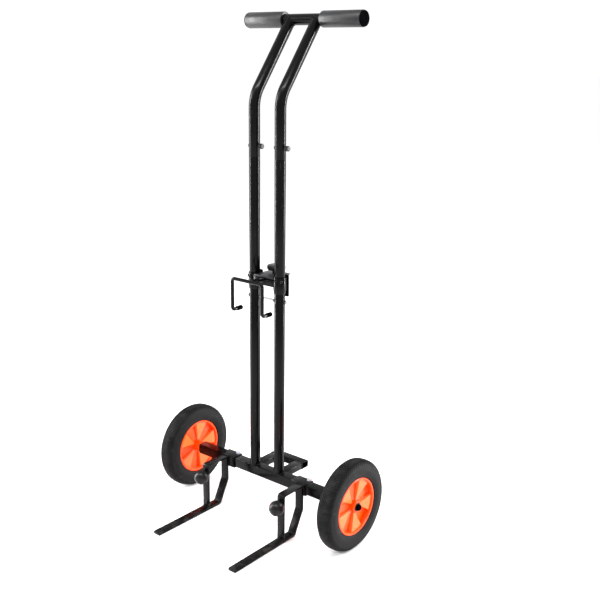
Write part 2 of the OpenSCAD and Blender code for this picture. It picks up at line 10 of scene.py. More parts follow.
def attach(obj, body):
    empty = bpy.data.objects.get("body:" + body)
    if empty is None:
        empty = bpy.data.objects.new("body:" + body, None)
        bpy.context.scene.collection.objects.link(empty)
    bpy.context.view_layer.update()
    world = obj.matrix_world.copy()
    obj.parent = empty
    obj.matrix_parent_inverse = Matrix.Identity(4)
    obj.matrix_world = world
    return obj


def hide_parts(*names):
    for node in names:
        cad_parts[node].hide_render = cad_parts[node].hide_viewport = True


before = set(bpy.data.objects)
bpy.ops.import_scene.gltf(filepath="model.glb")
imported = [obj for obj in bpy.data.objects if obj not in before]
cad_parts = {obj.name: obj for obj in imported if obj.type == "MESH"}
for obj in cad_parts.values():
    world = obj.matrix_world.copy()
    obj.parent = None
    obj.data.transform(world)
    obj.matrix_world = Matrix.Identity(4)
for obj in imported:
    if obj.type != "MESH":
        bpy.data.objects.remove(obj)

bl_info = {
    "name": "Drum dolly looks",
    "version": (1, 0, 0),
    "blender": (4, 5, 0),
    "location": "3D View > Sidebar > Drum dolly",
    "description": "Builds the visible pieces and finishes of a drum dolly over its frame",
    "category": "Object",
}

MM = 0.001
SIDES = {"left": -1, "right": 1}
SEED = 11
JOIN_WITHIN = 1e-7
ON_AXIS = 1e-9
SHARP_FROM = math.radians(38)

AXLE_Y = 64.25 * MM


def mm(x, y, z):
    """A vector given in millimetres from the point on the floor under the axle's middle."""
    return Vector((x * MM, AXLE_Y + y * MM, z * MM))


# ---------------------------------------------------------------- shader maths


class Sock:
    """A node socket that takes part in ordinary arithmetic."""

    def __init__(self, tree, socket):
        self.tree = tree
        self.socket = socket

    def _math(self, operation, *terms):
        node = self.tree.nodes.new("ShaderNodeMath")
        node.operation = operation
        for slot, term in zip(node.inputs, terms):
            fill(self.tree, slot, term)
        return Sock(self.tree, node.outputs[0])

    def __add__(self, other):
        return self._math("ADD", self, other)

    def __radd__(self, other):
        return self._math("ADD", other, self)

    def __sub__(self, other):
        return self._math("SUBTRACT", self, other)

    def __rsub__(self, other):
        return self._math("SUBTRACT", other, self)

    def __mul__(self, other):
        return self._math("MULTIPLY", self, other)

    def __rmul__(self, other):
        return self._math("MULTIPLY", other, self)

    def __rtruediv__(self, other):
        return self._math("DIVIDE", other, self)

    def __pow__(self, other):
        return self._math("POWER", self, other)

    def sin(self):
        return self._math("SINE", self)

    def cos(self):
        return self._math("COSINE", self)

    def smaller(self, other):
        return self._math("MINIMUM", self, other)

    def ramp(self, low, high):
        """0 at low and 1 at high, smoothly."""
        node = add_node(self.tree, "ShaderNodeMapRange", {"interpolation_type": "SMOOTHSTEP"},
                        Value=self, From_Min=low, From_Max=high)
        return Sock(self.tree, node.outputs["Result"])


def fill(tree, slot, value):
    """Links one input socket to another socket, or sets its value."""
    if isinstance(value, Sock):
        value = value.socket
    if isinstance(value, bpy.types.NodeSocket):
        tree.links.new(value, slot)
    else:
        slot.default_value = value


def add_node(tree, kind, settings=None, **values):
    """A node of that type: its settings first, then its sockets' values or links."""
    made = tree.nodes.new(kind)
    for key, value in (settings or {}).items():
        setattr(made, key, value)
    for key, value in values.items():
        fill(tree, made.inputs[key.replace("_", " ")], value)
    return made


class Finish:
    """One material: a Principled shader whose varied inputs are set from expressions."""

    def __init__(self, name, color, rough, metal=0.0, coat=0.0, coat_rough=0.1, spec=0.5):
        self.material = bpy.data.materials.new(name)
        self.material.use_nodes = True
        self.material.diffuse_color = (*color, 1.0)
        self.tree = self.material.node_tree
        self.shader = self.tree.nodes["Principled BSDF"]
        settings = {"Base Color": (*color, 1.0), "Roughness": rough, "Metallic": metal, "Coat Weight": coat,
                    "Coat Roughness": coat_rough, "Specular IOR Level": spec}
        for key, value in settings.items():
            self.shader.inputs[key].default_value = value
        self.place = add_node(self.tree, "ShaderNodeTexCoord").outputs["Object"]
        axes = add_node(self.tree, "ShaderNodeSeparateXYZ", Vector=self.place).outputs
        self.x, self.y, self.z = (Sock(self.tree, axes[i]) for i in range(3))

    def noise(self, scale, detail=3.0, rough=0.5, at=None):
        made = add_node(self.tree, "ShaderNodeTexNoise", Vector=at or self.place, Scale=scale, Detail=detail,
                        Roughness=rough)
        return Sock(self.tree, made.outputs["Fac"])

    def cells(self, scale):
        made = add_node(self.tree, "ShaderNodeTexVoronoi", Vector=self.place, Scale=scale)
        return Sock(self.tree, made.outputs["Distance"])

    def stretched(self, x, y, z):
        """Object coordinates scaled along each axis."""
        made = add_node(self.tree, "ShaderNodeVectorMath", {"operation": "MULTIPLY"})
        for slot, value in zip(made.inputs, (self.place, (x, y, z))):
            fill(self.tree, slot, value)
        return made.outputs[0]

    def mix(self, factor, first, second):
        """A colour between two, by factor."""
        made = add_node(self.tree, "ShaderNodeMix", {"data_type": "RGBA"})
        for slot, value in zip((made.inputs[0], made.inputs[6], made.inputs[7]), (factor, first, second)):
            fill(self.tree, slot, (*value, 1.0) if isinstance(value, tuple) else value)
        return Sock(self.tree, made.outputs[2])

    def feed(self, name, value):
        self.tree.links.new(value.socket, self.shader.inputs[name])

    def bump(self, height, strength, distance):
        made = add_node(self.tree, "ShaderNodeBump", Height=height, Strength=strength, Distance=distance)
        self.feed("Normal", Sock(self.tree, made.outputs[0]))

    def from_axle(self):
        """Distance from the wheels' axis."""
        return ((self.y - AXLE_Y) ** 2.0 + (self.z - AXLE_Z * MM) ** 2.0) ** 0.5

    def floor_dust(self, top, strength):
        """Dust that thickens towards the floor, broken up by noise."""
        low = 1.0 - self.z.ramp(0.0, top)
        return low * self.noise(38.0, 5.0, 0.65).ramp(0.46, 0.74) * strength


def coat_black(name, base=(0.0016, 0.0016, 0.0018), scuff=0.35, rough=0.17):
    """Gloss black powder coat: orange peel, thin scratches, chips and a little dust near the floor."""
    f = Finish(name, base, rough, coat=0.04, coat_rough=0.08, spec=0.08)
    f.bump(f.noise(950.0, 2.0, 0.5) + f.noise(230.0, 2.0, 0.4) * 0.6, 0.12, 0.0004)
    smudge = f.noise(9.0, 4.0, 0.6).ramp(0.4, 0.75)
    streaks = f.noise(60.0, 3.0, 0.7, f.stretched(1.0, 1.0, 0.12)).ramp(0.55, 0.8)
    lines = f.noise(420.0, 1.0, 0.4, f.stretched(1.0, 0.35, 0.06)).ramp(0.69, 0.74)
    scratches = lines * f.noise(14.0).ramp(0.45, 0.65)
    dust = f.floor_dust(0.13, 0.5 + scuff * 0.4)
    chips = f.cells(85.0).ramp(0.065, 0.05) * f.noise(11.0, 3.0).ramp(0.55, 0.68) * scuff
    tone = f.mix(scratches * (0.2 + 0.35 * scuff), base, (0.05, 0.05, 0.052))
    tone = f.mix(chips * 0.7, tone, (0.14, 0.135, 0.13))
    f.feed("Base Color", f.mix(dust * 0.3, tone, (0.12, 0.11, 0.1)))
    f.feed("Roughness", rough + smudge * 0.1 + streaks * 0.06 + scratches * 0.16 + dust * 0.4)
    f.feed("Coat Weight", 0.04 - 0.04 * (dust + chips).smaller(1.0))
    return f.material


def rubber(name):
    """Tyre rubber: moulding grain, dusty shoulders and faint sidewall scuffs."""
    base = (0.005, 0.005, 0.0053)
    f = Finish(name, base, 0.62, spec=0.09)
    radial = f.from_axle()
    grain = f.noise(700.0, 4.0, 0.65)
    bands = (radial * 2600.0).sin() * (1.0 - radial.ramp(0.104, 0.108)) * radial.ramp(0.084, 0.088)
    f.bump(grain * 0.7 + bands * 0.12 + f.noise(90.0, 3.0) * 0.5, 0.35, 0.0008)
    tread = radial.ramp(0.119, 0.1262)
    dust = f.noise(45.0, 6.0, 0.7).ramp(0.42, 0.7) * (0.25 + 0.75 * tread)
    scuff = f.noise(30.0, 4.0, 0.8, f.stretched(1.0, 1.0, 2.2)).ramp(0.58, 0.72)
    tone = f.mix(dust * 0.3, base, (0.06, 0.057, 0.053))
    f.feed("Base Color", f.mix(scuff * 0.12, tone, (0.13, 0.13, 0.13)))
    f.feed("Roughness", 0.5 + dust * 0.25 + grain * 0.14 - tread * 0.04)
    return f.material


def orange_plastic(name, base, deep):
    """Moulded plastic with a slight swirl, fine scratches and dust in the dish."""
    f = Finish(name, base, 0.3, spec=0.22)
    radial = f.from_axle()
    swirl = f.noise(16.0, 4.0, 0.6, f.stretched(1.0, 1.0, 0.4)).ramp(0.3, 0.8)
    lines = f.noise(300.0, 2.0, 0.5, f.stretched(1.0, 0.15, 1.0)).ramp(0.64, 0.72)
    dust = f.noise(70.0, 5.0, 0.7).ramp(0.5, 0.8) * (0.35 + 0.65 * radial.ramp(0.05, 0.074))
    tone = f.mix(swirl * 0.3, base, deep)
    f.feed("Base Color", f.mix(dust * 0.1, tone, (0.62, 0.4, 0.26)))
    f.feed("Roughness", 0.26 + swirl * 0.1 + lines * 0.12 + dust * 0.22)
    f.bump(f.noise(500.0, 2.0) * 0.5 + f.noise(120.0, 2.0), 0.1, 0.0006)
    return f.material


def plated(name, base, rough, blue=0.0):
    """Bright plated or plain steel: turned lines, cloudy plating and dull spots."""
    f = Finish(name, base, rough, metal=1.0)
    clouds = f.noise(120.0, 4.0, 0.6)
    turned = (f.x * 9000.0).sin() * 0.5 + (f.z * 7000.0).sin() * 0.5
    spots = f.noise(340.0, 3.0, 0.7).ramp(0.6, 0.75)
    tone = f.mix(clouds.ramp(0.35, 0.7) * 0.5, base, (base[0] * 0.8, base[1] * 0.82, base[2] * (0.84 + blue)))
    f.feed("Base Color", f.mix(spots * 0.35, tone, (0.3, 0.29, 0.27)))
    f.feed("Roughness", rough + clouds * 0.14 + spots * 0.2)
    f.bump(turned * 0.4 + clouds, 0.12, 0.0003)
    return f.material


def foam(name):
    """Satin foam rubber: a fine open skin, rubbed smoother and darker where hands hold it."""
    base = (0.009, 0.0092, 0.01)
    f = Finish(name, base, 0.5, spec=0.3)
    pores = f.cells(900.0)
    hold = f.noise(12.0, 4.0, 0.6).ramp(0.4, 0.7)
    f.bump(pores * 0.8 + f.noise(240.0, 4.0, 0.6), 0.22, 0.0006)
    f.feed("Base Color", f.mix(hold * 0.5, base, (0.006, 0.0062, 0.0068)))
    f.feed("Roughness", 0.36 + f.noise(60.0, 4.0).ramp(0.3, 0.8) * 0.12 - hold * 0.06)
    return f.material


def moulded_black(name, rough, base=(0.008, 0.008, 0.009), coat=0.0, spec=0.16):
    """Black moulded plastic or phenolic with handling marks."""
    f = Finish(name, base, rough, coat=coat, coat_rough=0.2, spec=spec)
    marks = f.noise(55.0, 5.0, 0.7).ramp(0.45, 0.75)
    fine = f.noise(600.0, 2.0, 0.5, f.stretched(1.0, 1.0, 0.2)).ramp(0.66, 0.73)
    f.feed("Base Color", f.mix(marks * 0.1 + fine * 0.12, base, (0.02, 0.02, 0.021)))
    f.feed("Roughness", rough + marks * 0.12 + fine * 0.12)
    f.bump(f.noise(420.0, 3.0) + marks * 0.3, 0.08, 0.0004)
    return f.material


def floor_paint(name):
    """Plain pale studio floor with the faintest mottling."""
    base = (0.93, 0.93, 0.93)
    f = Finish(name, base, 0.6)
    f.feed("Base Color", f.mix(f.noise(1.4, 3.0), base, (0.96, 0.96, 0.96)))
    f.feed("Roughness", 0.55 + f.noise(3.0, 2.0) * 0.15)
    return f.material


FINISHES = {}


def build_finishes():
    FINISHES.update(
        {
            "frame_black": coat_black("frame_black"),
            "fork_black": coat_black("fork_black", scuff=0.9, rough=0.24),
            "weld_black": coat_black("weld_black", base=(0.006, 0.006, 0.0065), rough=0.26),
            "shelf_plate": coat_black("shelf_plate", base=(0.018, 0.0185, 0.02), scuff=0.8, rough=0.3),
            "dark_fastener": coat_black("dark_fastener", base=(0.014, 0.014, 0.015), scuff=0.7, rough=0.3),
            "tyre_rubber": rubber("tyre_rubber"),
            # One orange in two painted copies: the moulding's deeper orange is painted shade on the recessed
            # web, and the blades' lighter orange is a painted highlight on their raised faces.
            "rim_orange": orange_plastic("rim_orange", (1.0, 0.06, 0.001), (0.92, 0.045, 0.001)),
            "rim_blade_painted_lit": orange_plastic("rim_blade_painted_lit", (1.0, 0.14, 0.03), (1.0, 0.1, 0.015)),
            "bearing_plastic": moulded_black("bearing_plastic", 0.45),
            "plain_steel": plated("plain_steel", (0.36, 0.36, 0.37), 0.32),
            "zinc_fastener": plated("zinc_fastener", (0.74, 0.76, 0.8), 0.22, 0.1),
            "grip_foam": foam("grip_foam"),
            "black_cap": moulded_black("black_cap", 0.6, base=(0.0015, 0.0015, 0.0017), spec=0.0),
            "knob_black": moulded_black("knob_black", 0.3, base=(0.003, 0.003, 0.0034), coat=0.06),
        }
    )


# ---------------------------------------------------------------- mesh helpers


def link_new(name, data):
    """A new object that holds the data, linked into the scene."""
    made = bpy.data.objects.new(name, data)
    bpy.context.scene.collection.objects.link(made)
    return made


def mesh_from(name, bm):
    """Ends a bmesh as a mesh."""
    mesh = bpy.data.meshes.new(name)
    bm.to_mesh(mesh)
    bm.free()
    return mesh


def clean(bm):
    """Joins points that coincide and turns the faces outward."""
    bmesh.ops.remove_doubles(bm, verts=bm.verts, dist=JOIN_WITHIN)
    bmesh.ops.recalc_face_normals(bm, faces=bm.faces)


def soften(bm, width, segments=2):
    """Bevels the sharp edges by a width in millimetres."""
    sharp = [e for e in bm.edges if len(e.link_faces) == 2 and e.calc_face_angle(0.0) > SHARP_FROM]
    bmesh.ops.bevel(bm, geom=sharp, offset=width * MM, segments=segments, profile=0.5, affect="EDGES",
                    clamp_overlap=True)


def keep(name, mesh, material, body, node=None, angle=32.0):
    """A mesh as a finished piece that rides on a body and may replace one of the frame's nodes."""
    mesh.materials.clear()
    mesh.materials.append(FINISHES[material])
    for polygon in mesh.polygons:
        polygon.use_smooth = True
        polygon.material_index = 0
    mesh.set_sharp_from_angle(angle=math.radians(angle))
    piece = link_new(name, mesh)
    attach(piece, body)
    if node:
        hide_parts(node)


def put(name, bm, material, body, node=None, angle=32.0, bevel=0.0):
    """Turns a bmesh into a finished piece on a body."""
    clean(bm)
    if bevel:
        soften(bm, bevel)
        bmesh.ops.recalc_face_normals(bm, faces=bm.faces)
    keep(name, mesh_from(name, bm), material, body, node, angle)


def walls(bm, rings):
    """Faces between rings of as many points; where points are shared they are triangles, or left out."""
    for a, b in zip(rings, rings[1:]):
        for k in range(len(a)):
            after = (k + 1) % len(a)
            corners = [a[k], a[after], b[after], b[k]]
            distinct = [v for i, v in enumerate(corners) if v not in corners[:i]]
            if len(distinct) > 2:
                bm.faces.new(distinct)


def loft(bm, rings):
    """A closed solid through rings of as many points."""
    walls(bm, rings)
    bm.faces.new(rings[0])
    bm.faces.new(rings[-1])


def arc(cx, cy, r, start, stop, steps=10):
    """Points on an arc, from one angle to another in degrees."""
    angles = [math.radians(start + (stop - start) * k / steps) for k in range(steps + 1)]
    return [(cx + r * math.cos(a), cy + r * math.sin(a)) for a in angles]


def mirrored(points, middle=()):
    """Points of (radius, height), those between, and the same points at minus height in turn."""
    return points + list(middle) + [(r, -h) for r, h in reversed(points)]


def sweep(bm, path, loops, up=Vector((1, 0, 0))):
    """Sweeps a closed outline, and a second one as its bore, along a path, with outline x along up."""
    count = len(path)
    rings = []
    for i, point in enumerate(path):
        ahead = (path[min(i + 1, count - 1)] - point).normalized() if i < count - 1 else None
        behind = (point - path[i - 1]).normalized() if i else None
        along = ((ahead or behind) + (behind or ahead)).normalized()
        widen = 1.0 / max(0.2, along.dot(ahead or behind))
        side = up.normalized()
        lift = along.cross(side).normalized()
        rings.append([[bm.verts.new(point + side * x + lift * y * widen) for x, y in loop] for loop in loops])
    for a, b in zip(rings, rings[1:]):
        for pair in zip(a, b):
            walls(bm, pair)
    for end in (rings[0], rings[-1]):
        if len(end) == 1:
            bm.faces.new(end[0])
        else:
            walls(bm, end)


def round_outline(radius, sides=64):
    angles = [2 * math.pi * k / sides for k in range(sides)]
    return [(radius * math.cos(a), radius * math.sin(a)) for a in angles]


def box_outline(width, height, corner, steps=5):
    """A rectangle with rounded corners, x across and y up."""
    points = []
    for quarter, (sx, sy) in enumerate(((1, 1), (-1, 1), (-1, -1), (1, -1))):
        start = 90 * quarter
        points += arc(sx * (width / 2 - corner), sy * (height / 2 - corner), corner, start, start + 90, steps)
    return points


def rounded_path(points, radii, steps=12):
    """A polyline with its inner corners replaced by arcs of the given radii."""
    path = [points[0]]
    for i in range(1, len(points) - 1):
        before = (points[i - 1] - points[i]).normalized()
        after = (points[i + 1] - points[i]).normalized()
        half = before.angle(after) / 2
        reach = radii[i - 1] / math.tan(half)
        centre = points[i] + (before + after).normalized() * radii[i - 1] / math.sin(half)
        start = points[i] + before * reach - centre
        turn = start.cross(points[i] + after * reach - centre).normalized()
        for k in range(steps + 1):
            path.append(centre + Matrix.Rotation((math.pi - 2 * half) * k / steps, 3, turn) @ start)
    path.append(points[-1])
    return path


def lathe(bm, profile, matrix, sides=96):
    """Turns an outline of (radius, height) about local Z; a point on the axis is one vertex."""
    rings = []
    for r, h in profile:
        if r < ON_AXIS:
            rings.append([bm.verts.new(matrix @ Vector((0, 0, h)))] * sides)
        else:
            rings.append([bm.verts.new(matrix @ Vector((x, y, h))) for x, y in round_outline(r, sides)])
    closed = profile[0][0] > ON_AXIS and profile[-1][0] > ON_AXIS
    walls(bm, rings + rings[:1] if closed else rings)


def facing(point, direction, spin=0.0):
    """A matrix that puts local Z along a direction at a point."""
    turn = Vector(direction).normalized().to_track_quat("Z", "Y").to_matrix().to_4x4()
    return Matrix.Translation(point) @ turn @ Matrix.Rotation(spin, 4, "Z")


def soft_cylinder(radius, low, high, edge, steps=4):
    """Outline of a solid turned bar with rounded rims."""
    rim = radius - edge
    below, above = arc(rim, low + edge, edge, -90, 0, steps), arc(rim, high - edge, edge, 0, 90, steps)
    return [(0, low), *below, *above, (0, high)]


def hex_head(bm, matrix, across, low, high, chamfer=0.7):
    """Hexagon head, in millimetres, with a chamfer on its outer face."""
    outer = across * MM / 2 / math.cos(math.pi / 6)
    layers = ((1.0, low), (1.0, high - chamfer), (0.94, high))
    loft(bm, [[bm.verts.new(matrix @ Vector((x, y, h * MM))) for x, y in round_outline(outer * scale, 6)]
              for scale, h in layers])


# ---------------------------------------------------------------- geometry nodes


class Tree:
    """A geometry node tree with named inputs; helpers keep each tree short."""

    def __init__(self, name):
        self.tree = bpy.data.node_groups.new(name, "GeometryNodeTree")
        self.tree.interface.new_socket("Geometry", in_out="OUTPUT", socket_type="NodeSocketGeometry")
        self.outlet = self.tree.nodes.new("NodeGroupOutput")

    def inputs(self, **kinds):
        """Makes named inputs, each from its kind and default, and returns their sockets."""
        for name, (kind, value) in kinds.items():
            made = self.tree.interface.new_socket(name, in_out="INPUT", socket_type="NodeSocket" + kind)
            if value is not None:
                made.default_value = value
        return self.tree.nodes.new("NodeGroupInput").outputs

    def node(self, kind, settings=None, **values):
        return add_node(self.tree, kind, settings, **values)

    def number(self, socket):
        return Sock(self.tree, socket)

    def vector(self, x=0.0, y=0.0, z=0.0):
        return self.node("ShaderNodeCombineXYZ", X=x, Y=y, Z=z).outputs[0]

    def ring(self, points, part, angle):
        """The part at each point, turned by the angle about X."""
        return self.node("GeometryNodeInstanceOnPoints", Points=points.outputs[0], Instance=part,
                         Rotation=self.vector(angle))

    def end(self, geometry, material):
        real = self.node("GeometryNodeRealizeInstances", Geometry=geometry)
        paint = self.node("GeometryNodeSetMaterial", Geometry=real.outputs[0], Material=material)
        self.tree.links.new(paint.outputs[0], self.outlet.inputs[0])
        return self.tree


def grown(name, tree, values, material, body, node=None, source=None, angle=35.0):
    """Evaluates a tree on a source mesh and keeps the plain result as a piece on a body."""
    holder = link_new(name + ".seed", source or bpy.data.meshes.new(name + ".seed"))
    modifier = holder.modifiers.new("grow", "NODES")
    modifier.node_group = tree
    given = {**values, "Material": FINISHES[material]}
    for item in tree.interface.items_tree:
        if item.in_out == "INPUT" and item.name in given:
            modifier[item.identifier] = given[item.name]
    graph = bpy.context.evaluated_depsgraph_get()
    graph.update()
    mesh = bpy.data.meshes.new_from_object(holder.evaluated_get(graph))
    bpy.data.objects.remove(holder)
    if not mesh.polygons:
        raise RuntimeError("no faces came out of " + tree.name)
    mesh.name = name
    keep(name, mesh, material, body, node, angle)


def tread_tree():
    """One ring of tread blocks round the wheel's axis, each a tapered diamond leaning out by tilt."""
    t = Tree("tread_ring")
    g = t.inputs(Count=("Int", 36), Radius=("Float", 0.12), Offset=("Float", 0.0), Phase=("Float", 0.0),
                 Tilt=("Float", 0.0), Spin=("Float", 0.0), Size=("Vector", (0.01, 0.01, 0.004)), Sides=("Int",
                                                                                                        4),
                 Centre=("Vector", (0.0, 0.0, 0.0)), Material=("Material", None))
    points = t.node("GeometryNodePoints", Count=g["Count"])
    index = t.number(t.node("GeometryNodeInputIndex").outputs[0])
    angle = (index + g["Phase"]) * (2 * math.pi / t.number(g["Count"]))
    place = t.vector(g["Offset"], angle.sin() * g["Radius"] * -1.0, angle.cos() * g["Radius"])
    middle = t.node("ShaderNodeVectorMath", {"operation": "ADD"})
    t.tree.links.new(place, middle.inputs[0])
    t.tree.links.new(g["Centre"], middle.inputs[1])
    placed = t.node("GeometryNodeSetPosition", Geometry=points.outputs[0], Position=middle.outputs[0])
    block = t.node("GeometryNodeMeshCone", {"fill_type": "NGON"}, Vertices=g["Sides"], Radius_Top=0.4,
                   Radius_Bottom=0.5, Depth=1.0)
    spun = t.node("GeometryNodeTransform", Geometry=block.outputs[0], Rotation=t.vector(z=g["Spin"]))
    sized = t.node("GeometryNodeTransform", Geometry=spun.outputs[0], Scale=g["Size"])
    leaning = t.node("GeometryNodeTransform", Geometry=sized.outputs[0], Rotation=t.vector(y=g["Tilt"]))
    return t.end(t.ring(placed, leaning.outputs[0], angle).outputs[0], g["Material"])


def bead_tree():
    """A weld bead: overlapping flattened drops along a path, each a little different."""
    t = Tree("weld_bead")
    g = t.inputs(Path=("Geometry", None), Spacing=("Float", 0.0016), Size=("Float", 0.002), Seed=("Int", 1),
                 Material=("Material", None))
    curve = t.node("GeometryNodeMeshToCurve", Mesh=g["Path"])
    points = t.node("GeometryNodeCurveToPoints", {"mode": "LENGTH"}, Curve=curve.outputs[0],
                    Length=g["Spacing"])
    jitter = t.node("FunctionNodeRandomValue", {"data_type": "FLOAT"}, Seed=g["Seed"])
    jitter.inputs["Min"].default_value = 0.85
    jitter.inputs["Max"].default_value = 1.12
    drop = t.node("GeometryNodeMeshUVSphere", Segments=12, Rings=8, Radius=g["Size"])
    flat = t.node("GeometryNodeTransform", Geometry=drop.outputs[0], Scale=(1.0, 1.0, 0.55))
    scale = [socket for socket in jitter.outputs if socket.enabled][0]
    beads = t.node("GeometryNodeInstanceOnPoints", Points=points.outputs["Points"], Instance=flat.outputs[0],
                   Rotation=points.outputs["Rotation"], Scale=scale)
    return t.end(beads.outputs[0], g["Material"])


def array_tree():
    """Copies of one object's mesh at each vertex of the source mesh, turned by one named rotation."""
    t = Tree("fastener_array")
    g = t.inputs(Places=("Geometry", None), Part=("Object", None), Turn=("Vector", (0.0, 0.0, 0.0)),
                 Material=("Material", None))
    part = t.node("GeometryNodeObjectInfo", Object=g["Part"]).outputs["Geometry"]
    made = t.node("GeometryNodeInstanceOnPoints", Points=g["Places"], Instance=part, Rotation=g["Turn"])
    return t.end(made.outputs[0], g["Material"])


TREES = {}


def copies(name, bm, places, turn, material, body, node):
    """Puts one fastener, drawn at the origin, at each place with the array tree."""
    clean(bm)
    part = link_new(name + ".part", mesh_from(name + ".part", bm))
    points = bpy.data.meshes.new(name + ".places")
    points.from_pydata([tuple(p) for p in places], [], [])
    grown(name, TREES["array"], {"Part": part, "Turn": turn}, material, body, node, points)
    bpy.data.objects.remove(part)


def bead(name, path, size, body, closed=False, seed=1):
    """A weld bead along a path of points."""
    mesh = bpy.data.meshes.new(name + ".path")
    edges = [(i, i + 1) for i in range(len(path) - 1)] + ([(len(path) - 1, 0)] if closed else [])
    mesh.from_pydata([tuple(p) for p in path], edges, [])
    values = {"Spacing": size * 0.85, "Size": size, "Seed": seed}
    grown(name, TREES["bead"], values, "weld_black", body, source=mesh, angle=50.0)


def spoke_tree():
    """Copies of one blade turned round the wheel's axis."""
    t = Tree("blade_ring")
    g = t.inputs(Count=("Int", 5), Turn=("Float", 0.0), Part=("Object", None),
                 Centre=("Vector", (0.0, 0.0, 0.0)),
                 Material=("Material", None))
    points = t.node("GeometryNodePoints", Count=g["Count"], Position=g["Centre"])
    index = t.number(t.node("GeometryNodeInputIndex").outputs[0])
    angle = index * (2 * math.pi / t.number(g["Count"])) + g["Turn"]
    part = t.node("GeometryNodeObjectInfo", Object=g["Part"]).outputs["Geometry"]
    return t.end(t.ring(points, part, angle).outputs[0], g["Material"])


def build_trees():
    TREES.update({"tread": tread_tree(), "bead": bead_tree(), "array": array_tree(), "spokes": spoke_tree()})


# ---------------------------------------------------------------- sizes used by several pieces, millimetres

AXLE_Z, AXLE_BORE, TYRE_X, CAP_X = 127.0, 6.05, 298.0, 322.6
BEAM, BEAM_HALF = 30.0, 262.0
BEAM_TOP = 142.0
POST_X, POST_R = 45.0, 15.0
LOWER_JOINT, UPPER_JOINT = 705.0, 1029.0
LOWER_BOLT, UPPER_BOLT = 647.0, 1058.0
BEND_Z, BEND_R = 1185.0, 90.0
HANDLE_BACK, HANDLE_Z = 147.0, 1381.0
HANDLE_HALF, GRIP_IN, GRIP_R, GRIP_CAP = 197.5, 64.5, 21.5, 4.0
FOOT_HALF, FOOT_W, FOOT_H, FOOT_REACH = 59.5, 28.0, 20.0, 115.0
FORK_X = {"left": -147.5, "right": 139.5}
FORK_W, PRONG_T, BRACE_T = 24.0, 8.0, 5.0
PRONG_REACH, HEEL, KNEE, BRACE_REACH = 297.0, 54.0, 70.0, 103.0
SLEEVE_FACE, SLEEVE_LEN, SLEEVE_SHIFT = 18.3, 50.0, 8.0
BALL_Z, BALL_R = 108.3, 21.5
COLLAR_Z, COLLAR_H, COLLAR_R, COLLAR_BORE = 669.0, 46.0, 17.7, 15.3
GRUB_Z = 705.0
SHELF_Z, SHELF_T, SHELF_BACK = 709.0, 4.0, 58.0
BRIDGE_Z, BRIDGE_DEPTH, BRIDGE_T = 687.0, 32.0, 3.0
ARM_Z, ARM_T, ARM_W, ARM_TAIL = 702.95, 6.0, 16.0, 61.0
HOOK_Y, HOOK_SPAN, HOOK_DROP, HOOK_TIP, HOOK_D, HOOK_BEND = -81.0, 107.0, 88.0, 35.0, 10.0, 9.0
HOOK_RISE, TIP_CAP = 4.5, 20.0
SEAT = POST_R + 0.05
STRAP_W, STRAP_LOW, STRAP_HIGH = 26.0, 658.5, 719.5
KNOB_BACK, KNOB_R = 38.0, 26.0


def at(x, y, z, direction=(0, 0, 1), spin=0.0):
    """Matrix at a place in millimetres whose local unit is a metre."""
    return facing(mm(x, y, z), direction, spin)


def scaled(points):
    return [(a * MM, b * MM) for a, b in points]


def route(*points):
    """Places given in millimetres."""
    return [mm(*p) for p in points]


def hub(side):
    """A matrix at a wheel's centre whose local Z points outward along the axle."""
    sign = SIDES[side]
    return at(sign * TYRE_X, 0, AXLE_Z, (sign, 0, 0))


# ---------------------------------------------------------------- wheels

TYRE_OUTLINE = [
    (76.6, 18.7), (80.0, 18.7), (80.9, 20.6), (82.8, 22.2), (85.2, 23.1), (86.8, 22.9), (88.4, 23.5), (92.0,
                                                                                                       24.4),
    (97.0, 24.9), (102.0, 24.8), (106.5, 24.3), (108.2, 23.7), (109.6, 24.0), (112.5, 23.3), (116.0, 22.0),
    (119.0, 20.2), (121.6, 17.2), (123.8, 12.4), (125.2, 7.0), (125.7, 0.0),
]

TREAD_BLOCKS = 84
TREAD_ROWS = [
    # offset, radius, tilt in degrees, phase, width, length, height, sides; the rows off the middle are in pairs
    (0.0, 124.9, 0.0, 0.0, 7.4, 8.8, 2.0, 4),
    (4.9, 124.7, 4.0, 0.5, 7.4, 8.8, 2.0, 4),
    (9.7, 124.3, 10.0, 0.0, 7.2, 8.8, 2.0, 4),
    (14.2, 122.7, 22.0, 0.5, 6.8, 8.6, 2.0, 4),
    (18.2, 120.2, 42.0, 0.0, 6.4, 8.2, 1.8, 4),
    (21.3, 116.6, 62.0, 0.5, 6.6, 6.4, 1.4, 6),
]


def build_tyre(side):
    bm = bmesh.new()
    lathe(bm, scaled(mirrored(TYRE_OUTLINE[:-1], TYRE_OUTLINE[-1:])), hub(side), 128)
    put(side + "_tyre_carcass", bm, "tyre_rubber", side + "_wheel", side + "_tyre", angle=40)
    rows = [(flip, *row) for row in TREAD_ROWS for flip in ((1, -1) if row[0] else (1,))]
    for number, (flip, offset, radius, tilt, phase, width, length, height, sides) in enumerate(rows):
        values = {
            "Count": TREAD_BLOCKS,
            "Radius": radius * MM,
            "Offset": flip * offset * MM,
            "Phase": phase,
            "Tilt": math.radians(flip * tilt),
            "Size": (width * MM, length * MM, height * MM),
            "Sides": sides,
            "Centre": tuple(hub(side).translation),
        }
        grown(f"{side}_tread_row_{number}", TREES["tread"], values, "tyre_rubber", side + "_wheel")


